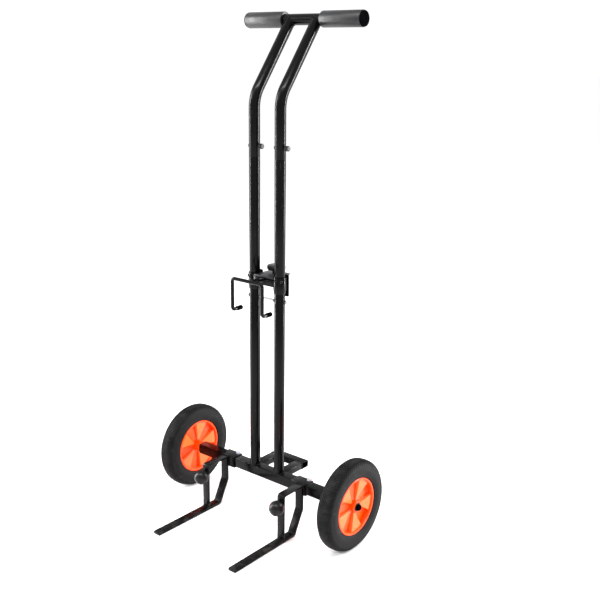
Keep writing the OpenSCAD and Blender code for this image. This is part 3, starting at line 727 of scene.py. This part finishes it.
def build_rim(side):
    """The dished moulding: a barrel that seats the tyre, a web and a boss."""
    barrel = mirrored([(79.4, 19.3), (79.5, 20.2), (78.7, 20.9), (76.0, 21.0), (74.2, 20.3), (73.0, 18.4),
                       (72.6, 15.0)])
    barrel += [(77.4, -18.6), (76.5, -17.0), (76.5, 17.0), (77.4, 18.6)]
    web = mirrored([(9.2, -9.0), (20.0, -9.0), (26.0, -7.6), (60.0, -6.6), (72.9, -7.0)])
    boss = [(9.1, -33.0), (15.4, -33.0), (16.4, -32.0), (17.0, -9.0), (17.0, 9.0), (16.6, 21.6), (15.4, 23.0),
            (12.0, 23.0), (11.2, 22.0), (9.1, 22.0)]
    # The moulding takes the deeper orange, painted shade on the recessed web.
    lathed(side + "_rim_moulding", (barrel, web, boss), [hub(side)] * 3, "rim_orange", side + "_wheel",
           side + "_rim", 128)


def blade_form():
    """One blade of the rim, on +Y of the wheel's axis: a fan that thickens and widens outward."""
    bm = bmesh.new()
    inner, outer, spread, steps, rows = 15.6, 72.9, 18.0, 8, 7
    sheets = []
    for face in (1, -1):
        sheet = []
        for i in range(rows):
            share = i / (rows - 1)
            half = spread * (0.62 + 0.38 * share)
            x = face * (12.2 + 4.3 * share) * MM
            line = scaled(arc(0, 0, inner + (outer - inner) * share, -half, half, steps))
            sheet.append([bm.verts.new((x, y, z)) for y, z in line])
        sheets.append(sheet)
    top, low = sheets
    for sheet in sheets:
        for i in range(rows - 1):
            for k in range(steps):
                bm.faces.new((sheet[i][k], sheet[i][k + 1], sheet[i + 1][k + 1], sheet[i + 1][k]))
    for i in range(rows - 1):
        for k in (0, steps):
            bm.faces.new((top[i][k], top[i + 1][k], low[i + 1][k], low[i][k]))
    for k in range(steps):
        for i in (0, rows - 1):
            bm.faces.new((top[i][k], top[i][k + 1], low[i][k + 1], low[i][k]))
    bmesh.ops.recalc_face_normals(bm, faces=bm.faces)
    soften(bm, 1.3, 3)
    return bm


def build_blades(side, turn):
    part = link_new(side + "_blade.part", mesh_from(side + "_blade.part", blade_form()))
    values = {"Count": 5, "Turn": turn, "Part": part, "Centre": tuple(hub(side).translation)}
    # The blades take the lighter orange, a painted highlight on their raised faces.
    grown(side + "_rim_blades", TREES["spokes"], values, "rim_blade_painted_lit", side + "_wheel")
    bpy.data.objects.remove(part)


def lathed(name, outlines, matrices, material, body, node=None, sides=64, angle=35):
    """One piece made of turned outlines, each at its own matrix."""
    bm = bmesh.new()
    for outline, matrix in zip(outlines, matrices):
        lathe(bm, scaled(outline), matrix, sides)
    put(name, bm, material, body, node, angle)


def build_bushes():
    outline = [(AXLE_BORE, -33.0), (8.7, -33.0), (9.0, -32.7), (9.0, 22.7), (8.7, 23.0), (AXLE_BORE, 23.0)]
    for side in SIDES:
        lathed(side + "_bush", [outline], [hub(side)], "bearing_plastic", side + "_wheel", side + "_hub_bush")


# ---------------------------------------------------------------- axle and beam


def swept(name, path, loops, material, body, node, up=(1, 0, 0), bevel=0.0):
    """One piece made by sweeping outlines in millimetres along a path."""
    bm = bmesh.new()
    sweep(bm, path, [scaled(loop) for loop in loops], Vector(up))
    put(name, bm, material, body, node, bevel=bevel)


def build_axle():
    bore = box_outline(BEAM - 4, BEAM - 4, 1.2)
    swept("beam_tube", route((-BEAM_HALF, 0, AXLE_Z), (BEAM_HALF, 0, AXLE_Z)),
          [box_outline(BEAM, BEAM, 2.8), bore], "frame_black", "frame", "axle_beam", (0, 1, 0), 0.4)
    ends = [at(0, 0, AXLE_Z, (sign, 0, 0)) for sign in SIDES.values()]
    for side, sign in SIDES.items():
        path = route((sign * (BEAM_HALF - 25), 0, AXLE_Z), (sign * (BEAM_HALF - 0.3), 0, AXLE_Z))
        swept(side + "_plug", path, [bore, round_outline(AXLE_BORE, 24)], "bearing_plastic", "frame",
              side + "_beam_plug", (0, 1, 0), 0.3)
    washers = [[(AXLE_BORE, low), (11.7, low), (12.0, low + 0.3), (12.0, high - 0.3), (11.7, high),
                (AXLE_BORE, high)]
               for low, high in ((BEAM_HALF, 264.95), (321.05, CAP_X))]
    lathed("axle_rings", washers * 2, [end for end in ends for _ in washers], "dark_fastener", "frame",
           "axle_washers")
    cap = [(0, CAP_X), (8.3, CAP_X), (8.5, 322.8), (8.5, 327.4), (8.1, 328.9), (6.8, 330.1), (4.0, 330.5),
           (0, 330.6)]
    lathed("push_caps", [cap] * 2, ends, "black_cap", "frame", "axle_caps")


# ---------------------------------------------------------------- posts and handle


def tube_path(sign, points, radii=()):
    return rounded_path([mm(sign * POST_X, y, z) for y, z in points], list(radii), 20)


def build_posts():
    outer, inner, thin = (round_outline(POST_R - wall) for wall in (0, 1.5, 1.0))
    for side, sign in SIDES.items():
        for name, low, high in (("lower", BEAM_TOP, LOWER_JOINT - 0.4),
                                ("mid", LOWER_JOINT, UPPER_JOINT - 0.4)):
            swept(f"{side}_{name}_tube", tube_path(sign, [(0, low), (0, high)]), [outer, inner],
                  "frame_black", "frame", f"{side}_{name}_post", bevel=0.5)
        # the swaged neck that shows as a fine groove at each tube joint
        for level, z in (("lower", LOWER_JOINT), ("upper", UPPER_JOINT)):
            neck = [(0, z - 60), (13.4, z - 60), (14.0, z - 58), (14.0, z + 20), (0, z + 20)]
            lathed(f"{side}_{level}_spigot", [neck], [at(sign * POST_X, 0, 0)], "frame_black", "frame")
        # the tube ends 1.5 mm short of the cross tube's middle, along its 3:4 lean
        reach = 1.5 / 5
        points = [(0, UPPER_JOINT), (0, BEND_Z), (HANDLE_BACK - 3 * reach, HANDLE_Z - 4 * reach)]
        swept(side + "_bent_tube", tube_path(sign, points, [BEND_R * MM]), [outer, thin], "frame_black",
              "frame",
              side + "_handle_tube", bevel=0.4)


def build_handle():
    low, end = GRIP_IN, HANDLE_HALF - GRIP_CAP
    swept("cross_tube", route((-end, HANDLE_BACK, HANDLE_Z), (end, HANDLE_BACK, HANDLE_Z)),
          [round_outline(POST_R), round_outline(POST_R - 1)], "frame_black", "frame", "handle_bar", (0, 1, 0))
    bore, skin = SEAT, GRIP_R
    foam_outline = [(bore, low), (skin - 1.4, low), (skin - 0.4, low + 0.5), (skin, low + 1.6),
                    (skin, end - 1.2),
                    (skin - 0.4, end - 0.3), (skin - 0.8, end), (bore, end)]
    ends = [at(0, HANDLE_BACK, HANDLE_Z, (sign, 0, 0)) for sign in SIDES.values()]
    for side, matrix in zip(SIDES, ends):
        lathed(side + "_foam", [foam_outline], [matrix], "grip_foam", "frame", side + "_grip", 96)
    high, rim = HANDLE_HALF, GRIP_R - 1
    disc = [(0, end), (rim - 0.1, end), (rim, high - 2.0), (rim - 0.6, high - 0.6), (rim - 2, high),
            (rim - 6.5, high),
            (rim - 7.4, high - 0.8), (0, high - 0.8)]
    lathed("grip_discs", [disc] * 2, ends, "black_cap", "frame", "grip_end_caps", 96)


def lobed(bm, matrix, radius, lobes, depth, layers, sides=160):
    """A fluted head lofted through (scale, height) layers."""
    rings = []
    for scale, h in layers:
        ring = []
        for k in range(sides):
            a = 2 * math.pi * k / sides
            flute = max(0.0, math.cos(lobes * a)) ** 1.5
            r = (radius - depth * flute) * scale
            ring.append(bm.verts.new(matrix @ Vector((r * MM * math.cos(a), r * MM * math.sin(a), h * MM))))
        rings.append(ring)
    loft(bm, rings)


def thread_outline(radius, low, high, pitch=1.0, depth=0.45):
    points = [(0, low), (radius - depth, low)]
    h = low
    while h + pitch < high - 0.6:
        points += [(radius - depth, h + pitch * 0.25), (radius, h + pitch * 0.5), (radius, h + pitch * 0.6)]
        h += pitch
    return points + [(radius - depth, high - 0.5), (radius - depth - 0.3, high), (0, high)]


ALONG_X = (0.0, math.pi / 2, 0.0)


def build_fasteners():
    still = Matrix.Identity(4)
    bm = bmesh.new()
    reach = POST_X + POST_R
    rod = thread_outline(3.0, -reach - 8.0, reach + 14.0, 1.5, 0.35)
    lathe(bm, scaled(rod), at(0, 0, LOWER_BOLT, (1, 0, 0)), 24)
    put("joint_rod", bm, "plain_steel", "frame", "lower_joint_rod")
    nuts = [(sign * POST_X, end) for sign in SIDES.values() for end in (-1, 1)]
    bm = bmesh.new()
    for x, end in nuts:
        hex_head(bm, at(x, 0, LOWER_BOLT, (end, 0, 0)), 10, SEAT, POST_R + 5)
    put("joint_nuts", bm, "dark_fastener", "frame", "lower_joint_nuts")
    posts = [mm(sign * POST_X, 0, UPPER_BOLT) for sign in SIDES.values()]
    bm = bmesh.new()
    lathe(bm, scaled(soft_cylinder(3.0, -18.0, 17.0, 0.4)), still, 32)
    lathe(bm, scaled(soft_cylinder(5.0, SEAT, 19.4, 0.4)), still, 32)
    head = [(0.86, 19.0), (0.98, 19.5), (1.0, 20.4), (1.0, 27.4), (0.96, 28.5), (0.84, 29.0)]
    lobed(bm, still, 7.0, 24, 0.35, head, 192)
    copies("thumb_screws", bm, posts, ALONG_X, "dark_fastener", "frame", "upper_joint_knobs")
    bm = bmesh.new()
    lathe(bm, scaled(soft_cylinder(5.5, -18.0, -SEAT, 0.6)), still, 32)
    copies("thumb_nuts", bm, posts, ALONG_X, "dark_fastener", "frame", "upper_joint_nuts")


# ---------------------------------------------------------------- rear foot


def build_foot():
    z = BEAM_TOP - FOOT_H / 2
    outer, inner = box_outline(FOOT_W, FOOT_H, 2.4), box_outline(FOOT_W - 2.4, FOOT_H - 2.4, 1.2)
    for side, sign in SIDES.items():
        x = sign * (FOOT_HALF - FOOT_W / 2)
        path = route((x, 14.6, z), (x, FOOT_REACH - FOOT_W + 0.3, z))
        swept(side + "_foot_tube", path, [outer, inner], "frame_black", "frame", f"foot_{side}_rail",
              bevel=0.3)
    path = route((-FOOT_HALF, FOOT_REACH - FOOT_W / 2, z), (FOOT_HALF, FOOT_REACH - FOOT_W / 2, z))
    swept("foot_end_tube", path, [outer, inner], "frame_black", "frame", "foot_cross_rail", (0, 1, 0), 0.5)


# ---------------------------------------------------------------- forks


def build_fork(side):
    x, body = FORK_X[side], side + "_fork"
    sign = SIDES[side]
    mid = x - sign * SLEEVE_SHIFT
    size = 2 * SLEEVE_FACE
    swept(side + "_sleeve", route((mid - SLEEVE_LEN / 2, 0, AXLE_Z), (mid + SLEEVE_LEN / 2, 0, AXLE_Z)),
          [box_outline(size, size, 3.6), box_outline(size - 6, size - 6, 0.8)], "fork_black", body,
          side + "_fork_sleeve", (0, 1, 0), 0.6)
    bar_y = -(SLEEVE_FACE + PRONG_T / 2)
    corners = route((x, bar_y, 137.3), (x, bar_y, KNEE), (x, -HEEL - 2, PRONG_T / 2),
                    (x, -PRONG_REACH, PRONG_T / 2))
    swept(side + "_prong_bar", rounded_path(corners, [16 * MM, 11 * MM]),
          [box_outline(FORK_W, PRONG_T, 1.1, 3)],
          "fork_black", body, side + "_fork_prong", bevel=0.7)
    top, front = 142.3 - BRACE_T / 2, -BRACE_REACH + BRACE_T / 2
    corners = route((x, -SLEEVE_FACE - 0.1, top), (x, front, top), (x, front, PRONG_T - 0.6))
    swept(side + "_brace_bar", rounded_path(corners, [7.5 * MM]), [box_outline(FORK_W, BRACE_T, 0.9, 3)],
          "fork_black", body, side + "_fork_brace", bevel=0.5)

    seat = at(x, -BRACE_REACH, BALL_Z, (0, -1, 0))
    start = math.degrees(math.asin(13.2 / BALL_R))
    outline = [(0, 0.1), (11.6, 0.1), (12.4, 0.5), (12.6, 1.6)] + arc(0, BALL_R - 5.0, BALL_R, start - 90, 90,
                                                                      32)
    lathed(side + "_ball", [outline], [seat], "knob_black", body, side + "_ball_knob", 96, 30)
    bm = bmesh.new()
    behind = at(x, -BRACE_REACH + BRACE_T, BALL_Z, (0, 1, 0))
    hex_head(bm, behind, 13, 0.05, 4.5)
    lathe(bm, scaled(thread_outline(4.0, -4.9, 4.9, 0.8, 0.3)), behind, 32)
    put(side + "_ball_bolt", bm, "plain_steel", body, side + "_ball_stud")
    bm = bmesh.new()
    still = Matrix.Identity(4)
    hex_head(bm, still, 13, 1.4, 5.5)
    lathe(bm, scaled(soft_cylinder(7.4, 0.05, 1.5, 0.3)), still, 48)
    lathe(bm, scaled([(0, -3.2), (3.9, -3.2), (3.9, 0.5), (0, 0.5)]), still, 32)
    place = [mm(mid + SLEEVE_LEN / 2 - 8, 10.5, AXLE_Z + SLEEVE_FACE)]
    copies(side + "_lock_screw", bm, place, (0.0, 0.0, 0.35), "zinc_fastener", body, side + "_clamp_screw")


# ---------------------------------------------------------------- carriage


def plate(bm, outlines, matrix, thickness):
    """A flat plate from outlines that share their common edges; local x, y across it and z through it."""
    seen = {}
    faces = []
    for outline in outlines:
        loop = []
        for x, y in outline:
            key = (round(x, 4), round(y, 4))
            if key not in seen:
                seen[key] = bm.verts.new(matrix @ Vector((x * MM, y * MM, 0)))
            loop.append(seen[key])
        faces.append(bm.faces.new(loop))
    made = bmesh.ops.extrude_face_region(bm, geom=faces, use_keep_orig=True)
    lift = matrix.to_3x3() @ Vector((0, 0, thickness * MM))
    bmesh.ops.translate(bm, verts=[v for v in made["geom"] if isinstance(v, bmesh.types.BMVert)], vec=lift)


def upright(y):
    """A plate's frame with local x along X, local y along Z and its thickness along +Y from y."""
    return Matrix(((1, 0, 0, 0), (0, 0, 1, AXLE_Y + y * MM), (0, 1, 0, 0), (0, 0, 0, 1)))


def level(z):
    return Matrix.Translation((0, AXLE_Y, z * MM))


def build_carriage():
    body = "carriage"
    for side, sign in SIDES.items():
        bore, skin, high = COLLAR_BORE, COLLAR_R, COLLAR_H
        outline = [(bore, 0.3), (bore + 0.2, 0), (skin - 1.7, 0), (skin - 1.5, 0.4), (skin - 0.2, 11.0),
                   (skin, 12.5), (skin, high - 0.6), (skin - 0.4, high), (bore + 0.2, high), (bore, high - 0.3)]
        lathed(side + "_slide_collar", [outline], [at(sign * POST_X, 0, COLLAR_Z)], "frame_black", body,
               side + "_collar", 96)
        bm = bmesh.new()
        middle, height = POST_X + POST_R - STRAP_W / 2, (STRAP_LOW + STRAP_HIGH) / 2
        strap = box_outline(STRAP_W, STRAP_HIGH - STRAP_LOW, 3)
        plate(bm, [[(sign * (middle + x), height + y) for x, y in strap]], upright(COLLAR_R + 0.1), 4)
        put(side + "_back_strap", bm, "frame_black", body, side + "_strap", bevel=0.6)
    bm = bmesh.new()
    reach, edge = 28.5 * 1.22, BRIDGE_DEPTH / 2
    gap, floor = ARM_W / 2 + 0.3, ARM_Z - 0.3
    wall = [(-reach, BRIDGE_Z), (reach, BRIDGE_Z), (reach, SHELF_Z), (gap, SHELF_Z), (gap, floor), (-gap, floor),
            (-gap, SHELF_Z), (-reach, SHELF_Z)]
    for y in (-edge, edge - BRIDGE_T):
        plate(bm, [wall], upright(y), BRIDGE_T)
    plate(bm, [[(-27.0, -13.2), (27.0, -13.2), (27.0, 13.2), (-27.0, 13.2)]], level(BRIDGE_Z), BRIDGE_T)
    put("bridge_channel", bm, "frame_black", body, "carriage_bridge", bevel=0.5)
    bm = bmesh.new()
    cut = COLLAR_R + 0.1
    bite = math.degrees(math.acos((POST_X - 34) / cut))
    half = [(0, -edge), (34, -edge)] + arc(POST_X, 0, cut, 180 + bite, 180 - bite, 12)
    half += arc(30, SHELF_BACK - 4, 4, 0, 90, 6) + [(0, SHELF_BACK)]
    plate(bm, [half, [(-x, y) for x, y in half]], level(SHELF_Z), SHELF_T)
    put("shelf_plate_top", bm, "shelf_plate", body, "carriage_shelf", bevel=0.6)
    head = bmesh.new()
    grub = scaled([(0, 0), (3.4, 0), (3.5, 0.6), (3.3, 1.6), (2.6, 2.3), (1.6, 2.5), (1.5, 1.3), (0, 1.2)])
    for sign in SIDES.values():
        for turn in (4, 52):
            a = math.radians(sign * turn)
            out = Vector((math.sin(a), -math.cos(a), 0))
            matrix = facing(mm(sign * POST_X, 0, GRUB_Z) + out * (COLLAR_R + 0.1) * MM, out)
            lathe(head, grub, matrix, 32)
    put("collar_grubs", head, "dark_fastener", body, "collar_screws")
    bm = bmesh.new()
    centre = at(0, KNOB_BACK, ARM_Z)
    hex_head(bm, centre @ Matrix.Rotation(math.pi, 4, "X"), 13, 0.4, 6.7)
    lathe(bm, scaled(thread_outline(4.0, -9.0, 23.0)), centre, 32)
    put("clamp_bolt", bm, "plain_steel", body, "clamp_stud")


def build_hook():
    bm = bmesh.new()
    tail, nose = ARM_TAIL, HOOK_Y + HOOK_D / 2 + 0.1
    half = ARM_W / 2
    slot_w, front, back = 4.3, KNOB_BACK - 25, KNOB_BACK + 14
    right = [(0, nose), (half, nose)] + arc(half - 4, tail - 4, 4, 0, 90, 6) + [(0, tail), (0, back + slot_w)]
    right += arc(0, back, slot_w, 90, 0, 8)[1:] + arc(0, front, slot_w, 0, -90, 8)
    plate(bm, [right, [(-x, y) for x, y in right]], level(ARM_Z), ARM_T)
    put("reach_arm", bm, "frame_black", "hook_frame", "hook_arm", bevel=0.6)
    z, x = ARM_Z + ARM_T / 2 + HOOK_RISE, HOOK_SPAN / 2
    low, tip = z - HOOK_DROP, HOOK_Y + HOOK_TIP
    corners = [(-x, tip, low), (-x, HOOK_Y, low), (-x, HOOK_Y, z), (x, HOOK_Y, z), (x, HOOK_Y, low),
               (x, tip, low)]
    bm = bmesh.new()
    round_rod(bm, rounded_path(route(*corners), [HOOK_BEND * MM] * 4), HOOK_D / 2 * MM)
    put("hook_bar", bm, "frame_black", "hook_frame", "hook_rod", bevel=1.1)
    start, end, skin, round_off = tip - TIP_CAP, tip + 2, HOOK_D / 2 + 1.3, 3.6
    outline = [(5.05, start), (skin - 0.5, start), (skin, start + 0.6)]
    outline += arc(skin - round_off, end - round_off, round_off, 0, 90, 6) + [(0, end), (0, tip), (5.05, tip)]
    matrices = [at(side * x, 0, low, (0, 1, 0)) for side in SIDES.values()]
    lathed("tip_sleeves", [outline] * 2, matrices, "black_cap", "hook_frame", "hook_tip_caps", 48)


def round_rod(bm, path, radius, sides=32):
    """A solid round rod along a path that turns in any plane."""
    count = len(path)
    aheads = [(path[min(i + 1, count - 1)] - path[max(i - 1, 0)]).normalized() for i in range(count)]
    side = aheads[0].orthogonal().normalized()
    rings = []
    for i, along in enumerate(aheads):
        if i:
            side = aheads[i - 1].rotation_difference(along) @ side
        lift = along.cross(side)
        rings.append([bm.verts.new(path[i] + side * x + lift * y) for x, y in round_outline(radius, sides)])
    loft(bm, rings)


def build_clamp_knob():
    bm = bmesh.new()
    base = at(0, KNOB_BACK, SHELF_Z + SHELF_T + 0.05)
    lathe(bm, scaled([(4.1, 0), (10.2, 0), (10.9, 0.6), (10.6, 5.0), (11.6, 9.4), (4.1, 9.4)]), base, 96)
    layers = [(0.8, 9.0), (0.93, 9.4), (0.985, 10.8), (1.0, 13.0), (1.0, 17.0), (0.985, 19.0), (0.93, 21.0),
              (0.82, 22.2),
              (0.6, 22.8), (0.3, 23.0)]
    lobed(bm, base, KNOB_R, 8, 2.0, layers)
    put("star_knob", bm, "knob_black", "clamp_handle", "clamp_knob", angle=40)


# ---------------------------------------------------------------- welds


def build_welds(size, seed):
    """Beads along the seams; each kind of seam has its own seed and its share of the bead's size."""

    def seam(name, body, share, step, *points):
        bead(name, route(*points), size * share, body, len(points) > 2, seed + step)

    for side, sign in SIDES.items():
        foot = at(sign * POST_X, 0, BEAM_TOP + 0.2)
        circle = [foot @ Vector((x, y, 0)) for x, y in round_outline(14.9 * MM, 40)]
        bead(side + "_post_weld", circle, size, "frame", True, seed)
        lean = Vector((0, 0.6, 0.8))
        across = Vector((0, 0.8, -0.6))
        saddle = []
        for x, y in round_outline(1.0, 48):
            offset = Vector((x, 0, 0)) + across * y - lean * abs(x)
            saddle.append(mm(sign * POST_X, HANDLE_BACK, HANDLE_Z) + offset * 15.1 * MM)
        bead(side + "_handle_weld", saddle, size, "frame", True, seed + 1)
        inner, outer, high, low = sign * (FOOT_HALF - FOOT_W), sign * FOOT_HALF, 141.4, 122.4
        for part, y in (("near", 15.2), ("far", FOOT_REACH - FOOT_W - 0.2)):
            seam(f"{side}_foot_{part}_weld", "frame", 0.9, 2, (inner, y, high), (outer, y, high),
                 (outer, y, low),
                 (inner, y, low))
        x, body, prong_top = FORK_X[side], side + "_fork", PRONG_T + 0.2
        face, front = -SLEEVE_FACE - 0.2, -BRACE_REACH
        for part, edge in (("left", x - FORK_W / 2), ("right", x + FORK_W / 2)):
            seam(f"{side}_sleeve_weld_{part}", body, 1, 3, (edge, face, 111), (edge, face, 137))
            seam(f"{side}_foot_weld_{part}", body, 0.9, 4, (edge, front + 0.4, prong_top),
                 (edge, front + 4.8, prong_top))
        seam(side + "_sleeve_weld_top", body, 1, 5, (x - 12, face, 142), (x + 12, face, 142))
        for part, y in (("front", front - 0.1), ("back", front + BRACE_T + 0.1)):
            seam(f"{side}_brace_weld_{part}", body, 0.9, 6, (x - 11.6, y, prong_top),
                 (x + 11.6, y, prong_top))
        inside, behind = sign * POST_X - 6, COLLAR_R - 0.9
        seam(side + "_strap_weld", "carriage", 0.8, 7, (inside, behind, 671), (inside, behind, 714))
    seam("hook_weld", "hook_frame", 0.9, 0, (-8, HOOK_Y + 5.1, 708.9), (8, HOOK_Y + 5.1, 708.9))


# ---------------------------------------------------------------- stage

CAMERA = {"azimuth": 39.2, "elevation": 15.4, "roll": 0.6, "lens": 54.07}
CAMERA_PLACE = (1572.8, -1786.3, 1298.5)
MIDDLE = (0.0, 0.1, 0.7)
FLOOR_RINGS = (0.0, 4.0, 9.0, 20.0, 60.0)


def build_camera():
    az, el, roll = (math.radians(CAMERA[k]) for k in ("azimuth", "elevation", "roll"))
    back = Vector((math.sin(az) * math.cos(el), -math.cos(az) * math.cos(el), math.sin(el)))
    right = Vector((math.cos(az), math.sin(az), 0))
    up = back.cross(right)
    turned = right * math.cos(roll) + up * math.sin(roll)
    lifted = up * math.cos(roll) - right * math.sin(roll)
    data = bpy.data.cameras.new("studio_camera")
    data.lens = CAMERA["lens"]
    data.sensor_width = 36.0
    data.clip_end = 100.0
    data.dof.use_dof = False
    camera = link_new("studio_camera", data)
    matrix = Matrix((turned, lifted, back)).transposed().to_4x4()
    matrix.translation = mm(*CAMERA_PLACE)
    camera.matrix_world = matrix
    bpy.context.scene.camera = camera


def softbox(name, place, width, height, power):
    """An area light that looks at the dolly's middle."""
    data = bpy.data.lights.new(name, "AREA")
    data.shape = "RECTANGLE"
    data.size, data.size_y = width, height
    data.energy = power
    lamp = link_new(name, data)
    lamp.location = place
    lamp.rotation_euler = (Vector(MIDDLE) - Vector(place)).to_track_quat("-Z", "Y").to_euler()


def build_stage(world_strength):
    bm = bmesh.new()
    lathe(bm, [(radius, 0.0) for radius in FLOOR_RINGS], Matrix.Identity(4))
    bmesh.ops.recalc_face_normals(bm, faces=bm.faces)
    mesh = mesh_from("studio_floor", bm)
    if mesh.polygons[0].normal.z < 0:
        mesh.flip_normals()
    mesh.materials.append(floor_paint("studio_floor"))
    link_new("studio_floor", mesh)
    world = bpy.data.worlds.new("studio")
    world.use_nodes = True
    shade = world.node_tree.nodes["Background"]
    shade.inputs["Color"].default_value = (1.0, 1.0, 1.0, 1)
    shade.inputs["Strength"].default_value = world_strength
    bpy.context.scene.world = world
    bpy.context.scene.view_settings.view_transform = "Standard"
    softbox("key_box", (-1.6, -2.6, 3.0), 1.6, 1.6, 40)
    softbox("right_strip", (2.1, 2.5, 1.3), 0.3, 2.6, 210)
    softbox("left_strip", (-2.9, -1.3, 1.3), 0.3, 2.6, 210)
    softbox("top_strip", (0.4, -1.3, 3.4), 2.6, 0.3, 90)


# ---------------------------------------------------------------- add-on


class DollySettings(bpy.types.PropertyGroup):
    left_turn: bpy.props.FloatProperty(
        name="Left blades", description="Turn of the left wheel's blades", default=math.radians(78),
        subtype="ANGLE")
    right_turn: bpy.props.FloatProperty(
        name="Right blades", description="Turn of the right wheel's blades", default=math.radians(60),
        subtype="ANGLE")
    bead_size: bpy.props.FloatProperty(
        name="Bead size", description="Radius of a weld drop", default=1.5 * MM, min=0.5 * MM, unit="LENGTH")
    seed: bpy.props.IntProperty(name="Seed", description="Seed of the weld beads' unevenness", default=SEED)
    world_strength: bpy.props.FloatProperty(
        name="Fill light", description="Strength of the even studio light", default=1.06, min=0.0)


class DollyStep:
    """What every step's operator shares."""

    bl_options = {"REGISTER", "UNDO"}

    @property
    def settings(self):
        return bpy.context.scene.dolly


class DOLLY_OT_finishes(DollyStep, bpy.types.Operator):
    """Make the finishes and the geometry node trees"""

    bl_idname = "dolly.finishes"
    bl_label = "Finishes"

    def execute(self, context):
        build_finishes()
        build_trees()
        return {"FINISHED"}


class DOLLY_OT_wheels(DollyStep, bpy.types.Operator):
    """Build tyres with tread, rims with blades and hub bushes"""

    bl_idname = "dolly.wheels"
    bl_label = "Wheels"

    def execute(self, context):
        for side in SIDES:
            build_tyre(side)
            build_rim(side)
            build_blades(side, getattr(self.settings, side + "_turn"))
        build_bushes()
        return {"FINISHED"}


class DOLLY_OT_axle(DollyStep, bpy.types.Operator):
    """Build the square beam, its plugs, the axle's washers and caps"""

    bl_idname = "dolly.axle"
    bl_label = "Axle and beam"

    def execute(self, context):
        build_axle()
        return {"FINISHED"}


class DOLLY_OT_posts(DollyStep, bpy.types.Operator):
    """Build the lower and mid posts and the bent handle tubes"""

    bl_idname = "dolly.posts"
    bl_label = "Posts"

    def execute(self, context):
        build_posts()
        return {"FINISHED"}


class DOLLY_OT_handle(DollyStep, bpy.types.Operator):
    """Build the cross tube, foam grips and end discs"""

    bl_idname = "dolly.handle"
    bl_label = "Handle"

    def execute(self, context):
        build_handle()
        return {"FINISHED"}


class DOLLY_OT_fasteners(DollyStep, bpy.types.Operator):
    """Place the tube joints' bolts, nuts and thumb screws"""

    bl_idname = "dolly.fasteners"
    bl_label = "Joint fasteners"

    def execute(self, context):
        build_fasteners()
        return {"FINISHED"}


class DOLLY_OT_foot(DollyStep, bpy.types.Operator):
    """Build the rear foot frame"""

    bl_idname = "dolly.foot"
    bl_label = "Rear foot"

    def execute(self, context):
        build_foot()
        return {"FINISHED"}


class DOLLY_OT_forks(DollyStep, bpy.types.Operator):
    """Build both sliding forks"""

    bl_idname = "dolly.forks"
    bl_label = "Forks"

    def execute(self, context):
        for side in SIDES:
            build_fork(side)
        return {"FINISHED"}


class DOLLY_OT_carriage(DollyStep, bpy.types.Operator):
    """Build the hook carriage that slides on the posts"""

    bl_idname = "dolly.carriage"
    bl_label = "Hook carriage"

    def execute(self, context):
        build_carriage()
        return {"FINISHED"}


class DOLLY_OT_hook(DollyStep, bpy.types.Operator):
    """Build the slotted arm, the hook rod and the star knob that clamps it"""

    bl_idname = "dolly.hook"
    bl_label = "Hook and clamp knob"

    def execute(self, context):
        build_hook()
        build_clamp_knob()
        return {"FINISHED"}


class DOLLY_OT_welds(DollyStep, bpy.types.Operator):
    """Grow the weld beads along the seams"""

    bl_idname = "dolly.welds"
    bl_label = "Welds"

    def execute(self, context):
        build_welds(self.settings.bead_size, self.settings.seed)
        return {"FINISHED"}


class DOLLY_OT_plain_nodes(DollyStep, bpy.types.Operator):
    """Give the frame's own nodes that still show their finishes"""

    bl_idname = "dolly.plain_nodes"
    bl_label = "Frame nodes"

    def execute(self, context):
        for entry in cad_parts["axle_rod"].material_slots:
            entry.material = FINISHES["plain_steel"]
        return {"FINISHED"}


class DOLLY_OT_stage(DollyStep, bpy.types.Operator):
    """Set up the pale floor, the soft lights and the camera"""

    bl_idname = "dolly.stage"
    bl_label = "Stage"

    def execute(self, context):
        build_stage(self.settings.world_strength)
        build_camera()
        return {"FINISHED"}


STEPS = (
    DOLLY_OT_finishes, DOLLY_OT_wheels, DOLLY_OT_axle, DOLLY_OT_posts, DOLLY_OT_handle, DOLLY_OT_fasteners,
    DOLLY_OT_foot, DOLLY_OT_forks, DOLLY_OT_carriage, DOLLY_OT_hook, DOLLY_OT_welds, DOLLY_OT_plain_nodes,
    DOLLY_OT_stage,
)


class DOLLY_PT_panel(bpy.types.Panel):
    """Drum dolly steps and settings"""

    bl_label = "Drum dolly"
    bl_idname = "DOLLY_PT_panel"
    bl_space_type = "VIEW_3D"
    bl_region_type = "UI"
    bl_category = "Drum dolly"

    def draw(self, context):
        for name in DollySettings.__annotations__:
            self.layout.prop(context.scene.dolly, name)
        for step in STEPS:
            self.layout.operator(step.bl_idname)


def register():
    for item in (DollySettings, *STEPS, DOLLY_PT_panel):
        bpy.utils.register_class(item)
    bpy.types.Scene.dolly = bpy.props.PointerProperty(type=DollySettings)


def unregister():
    del bpy.types.Scene.dolly
    for item in reversed((DollySettings, *STEPS, DOLLY_PT_panel)):
        bpy.utils.unregister_class(item)


def main():
    register()
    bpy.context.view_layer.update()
    for step in STEPS:
        group, name = step.bl_idname.split(".")
        getattr(getattr(bpy.ops, group), name)()


if __name__ == "__main__":
    main()
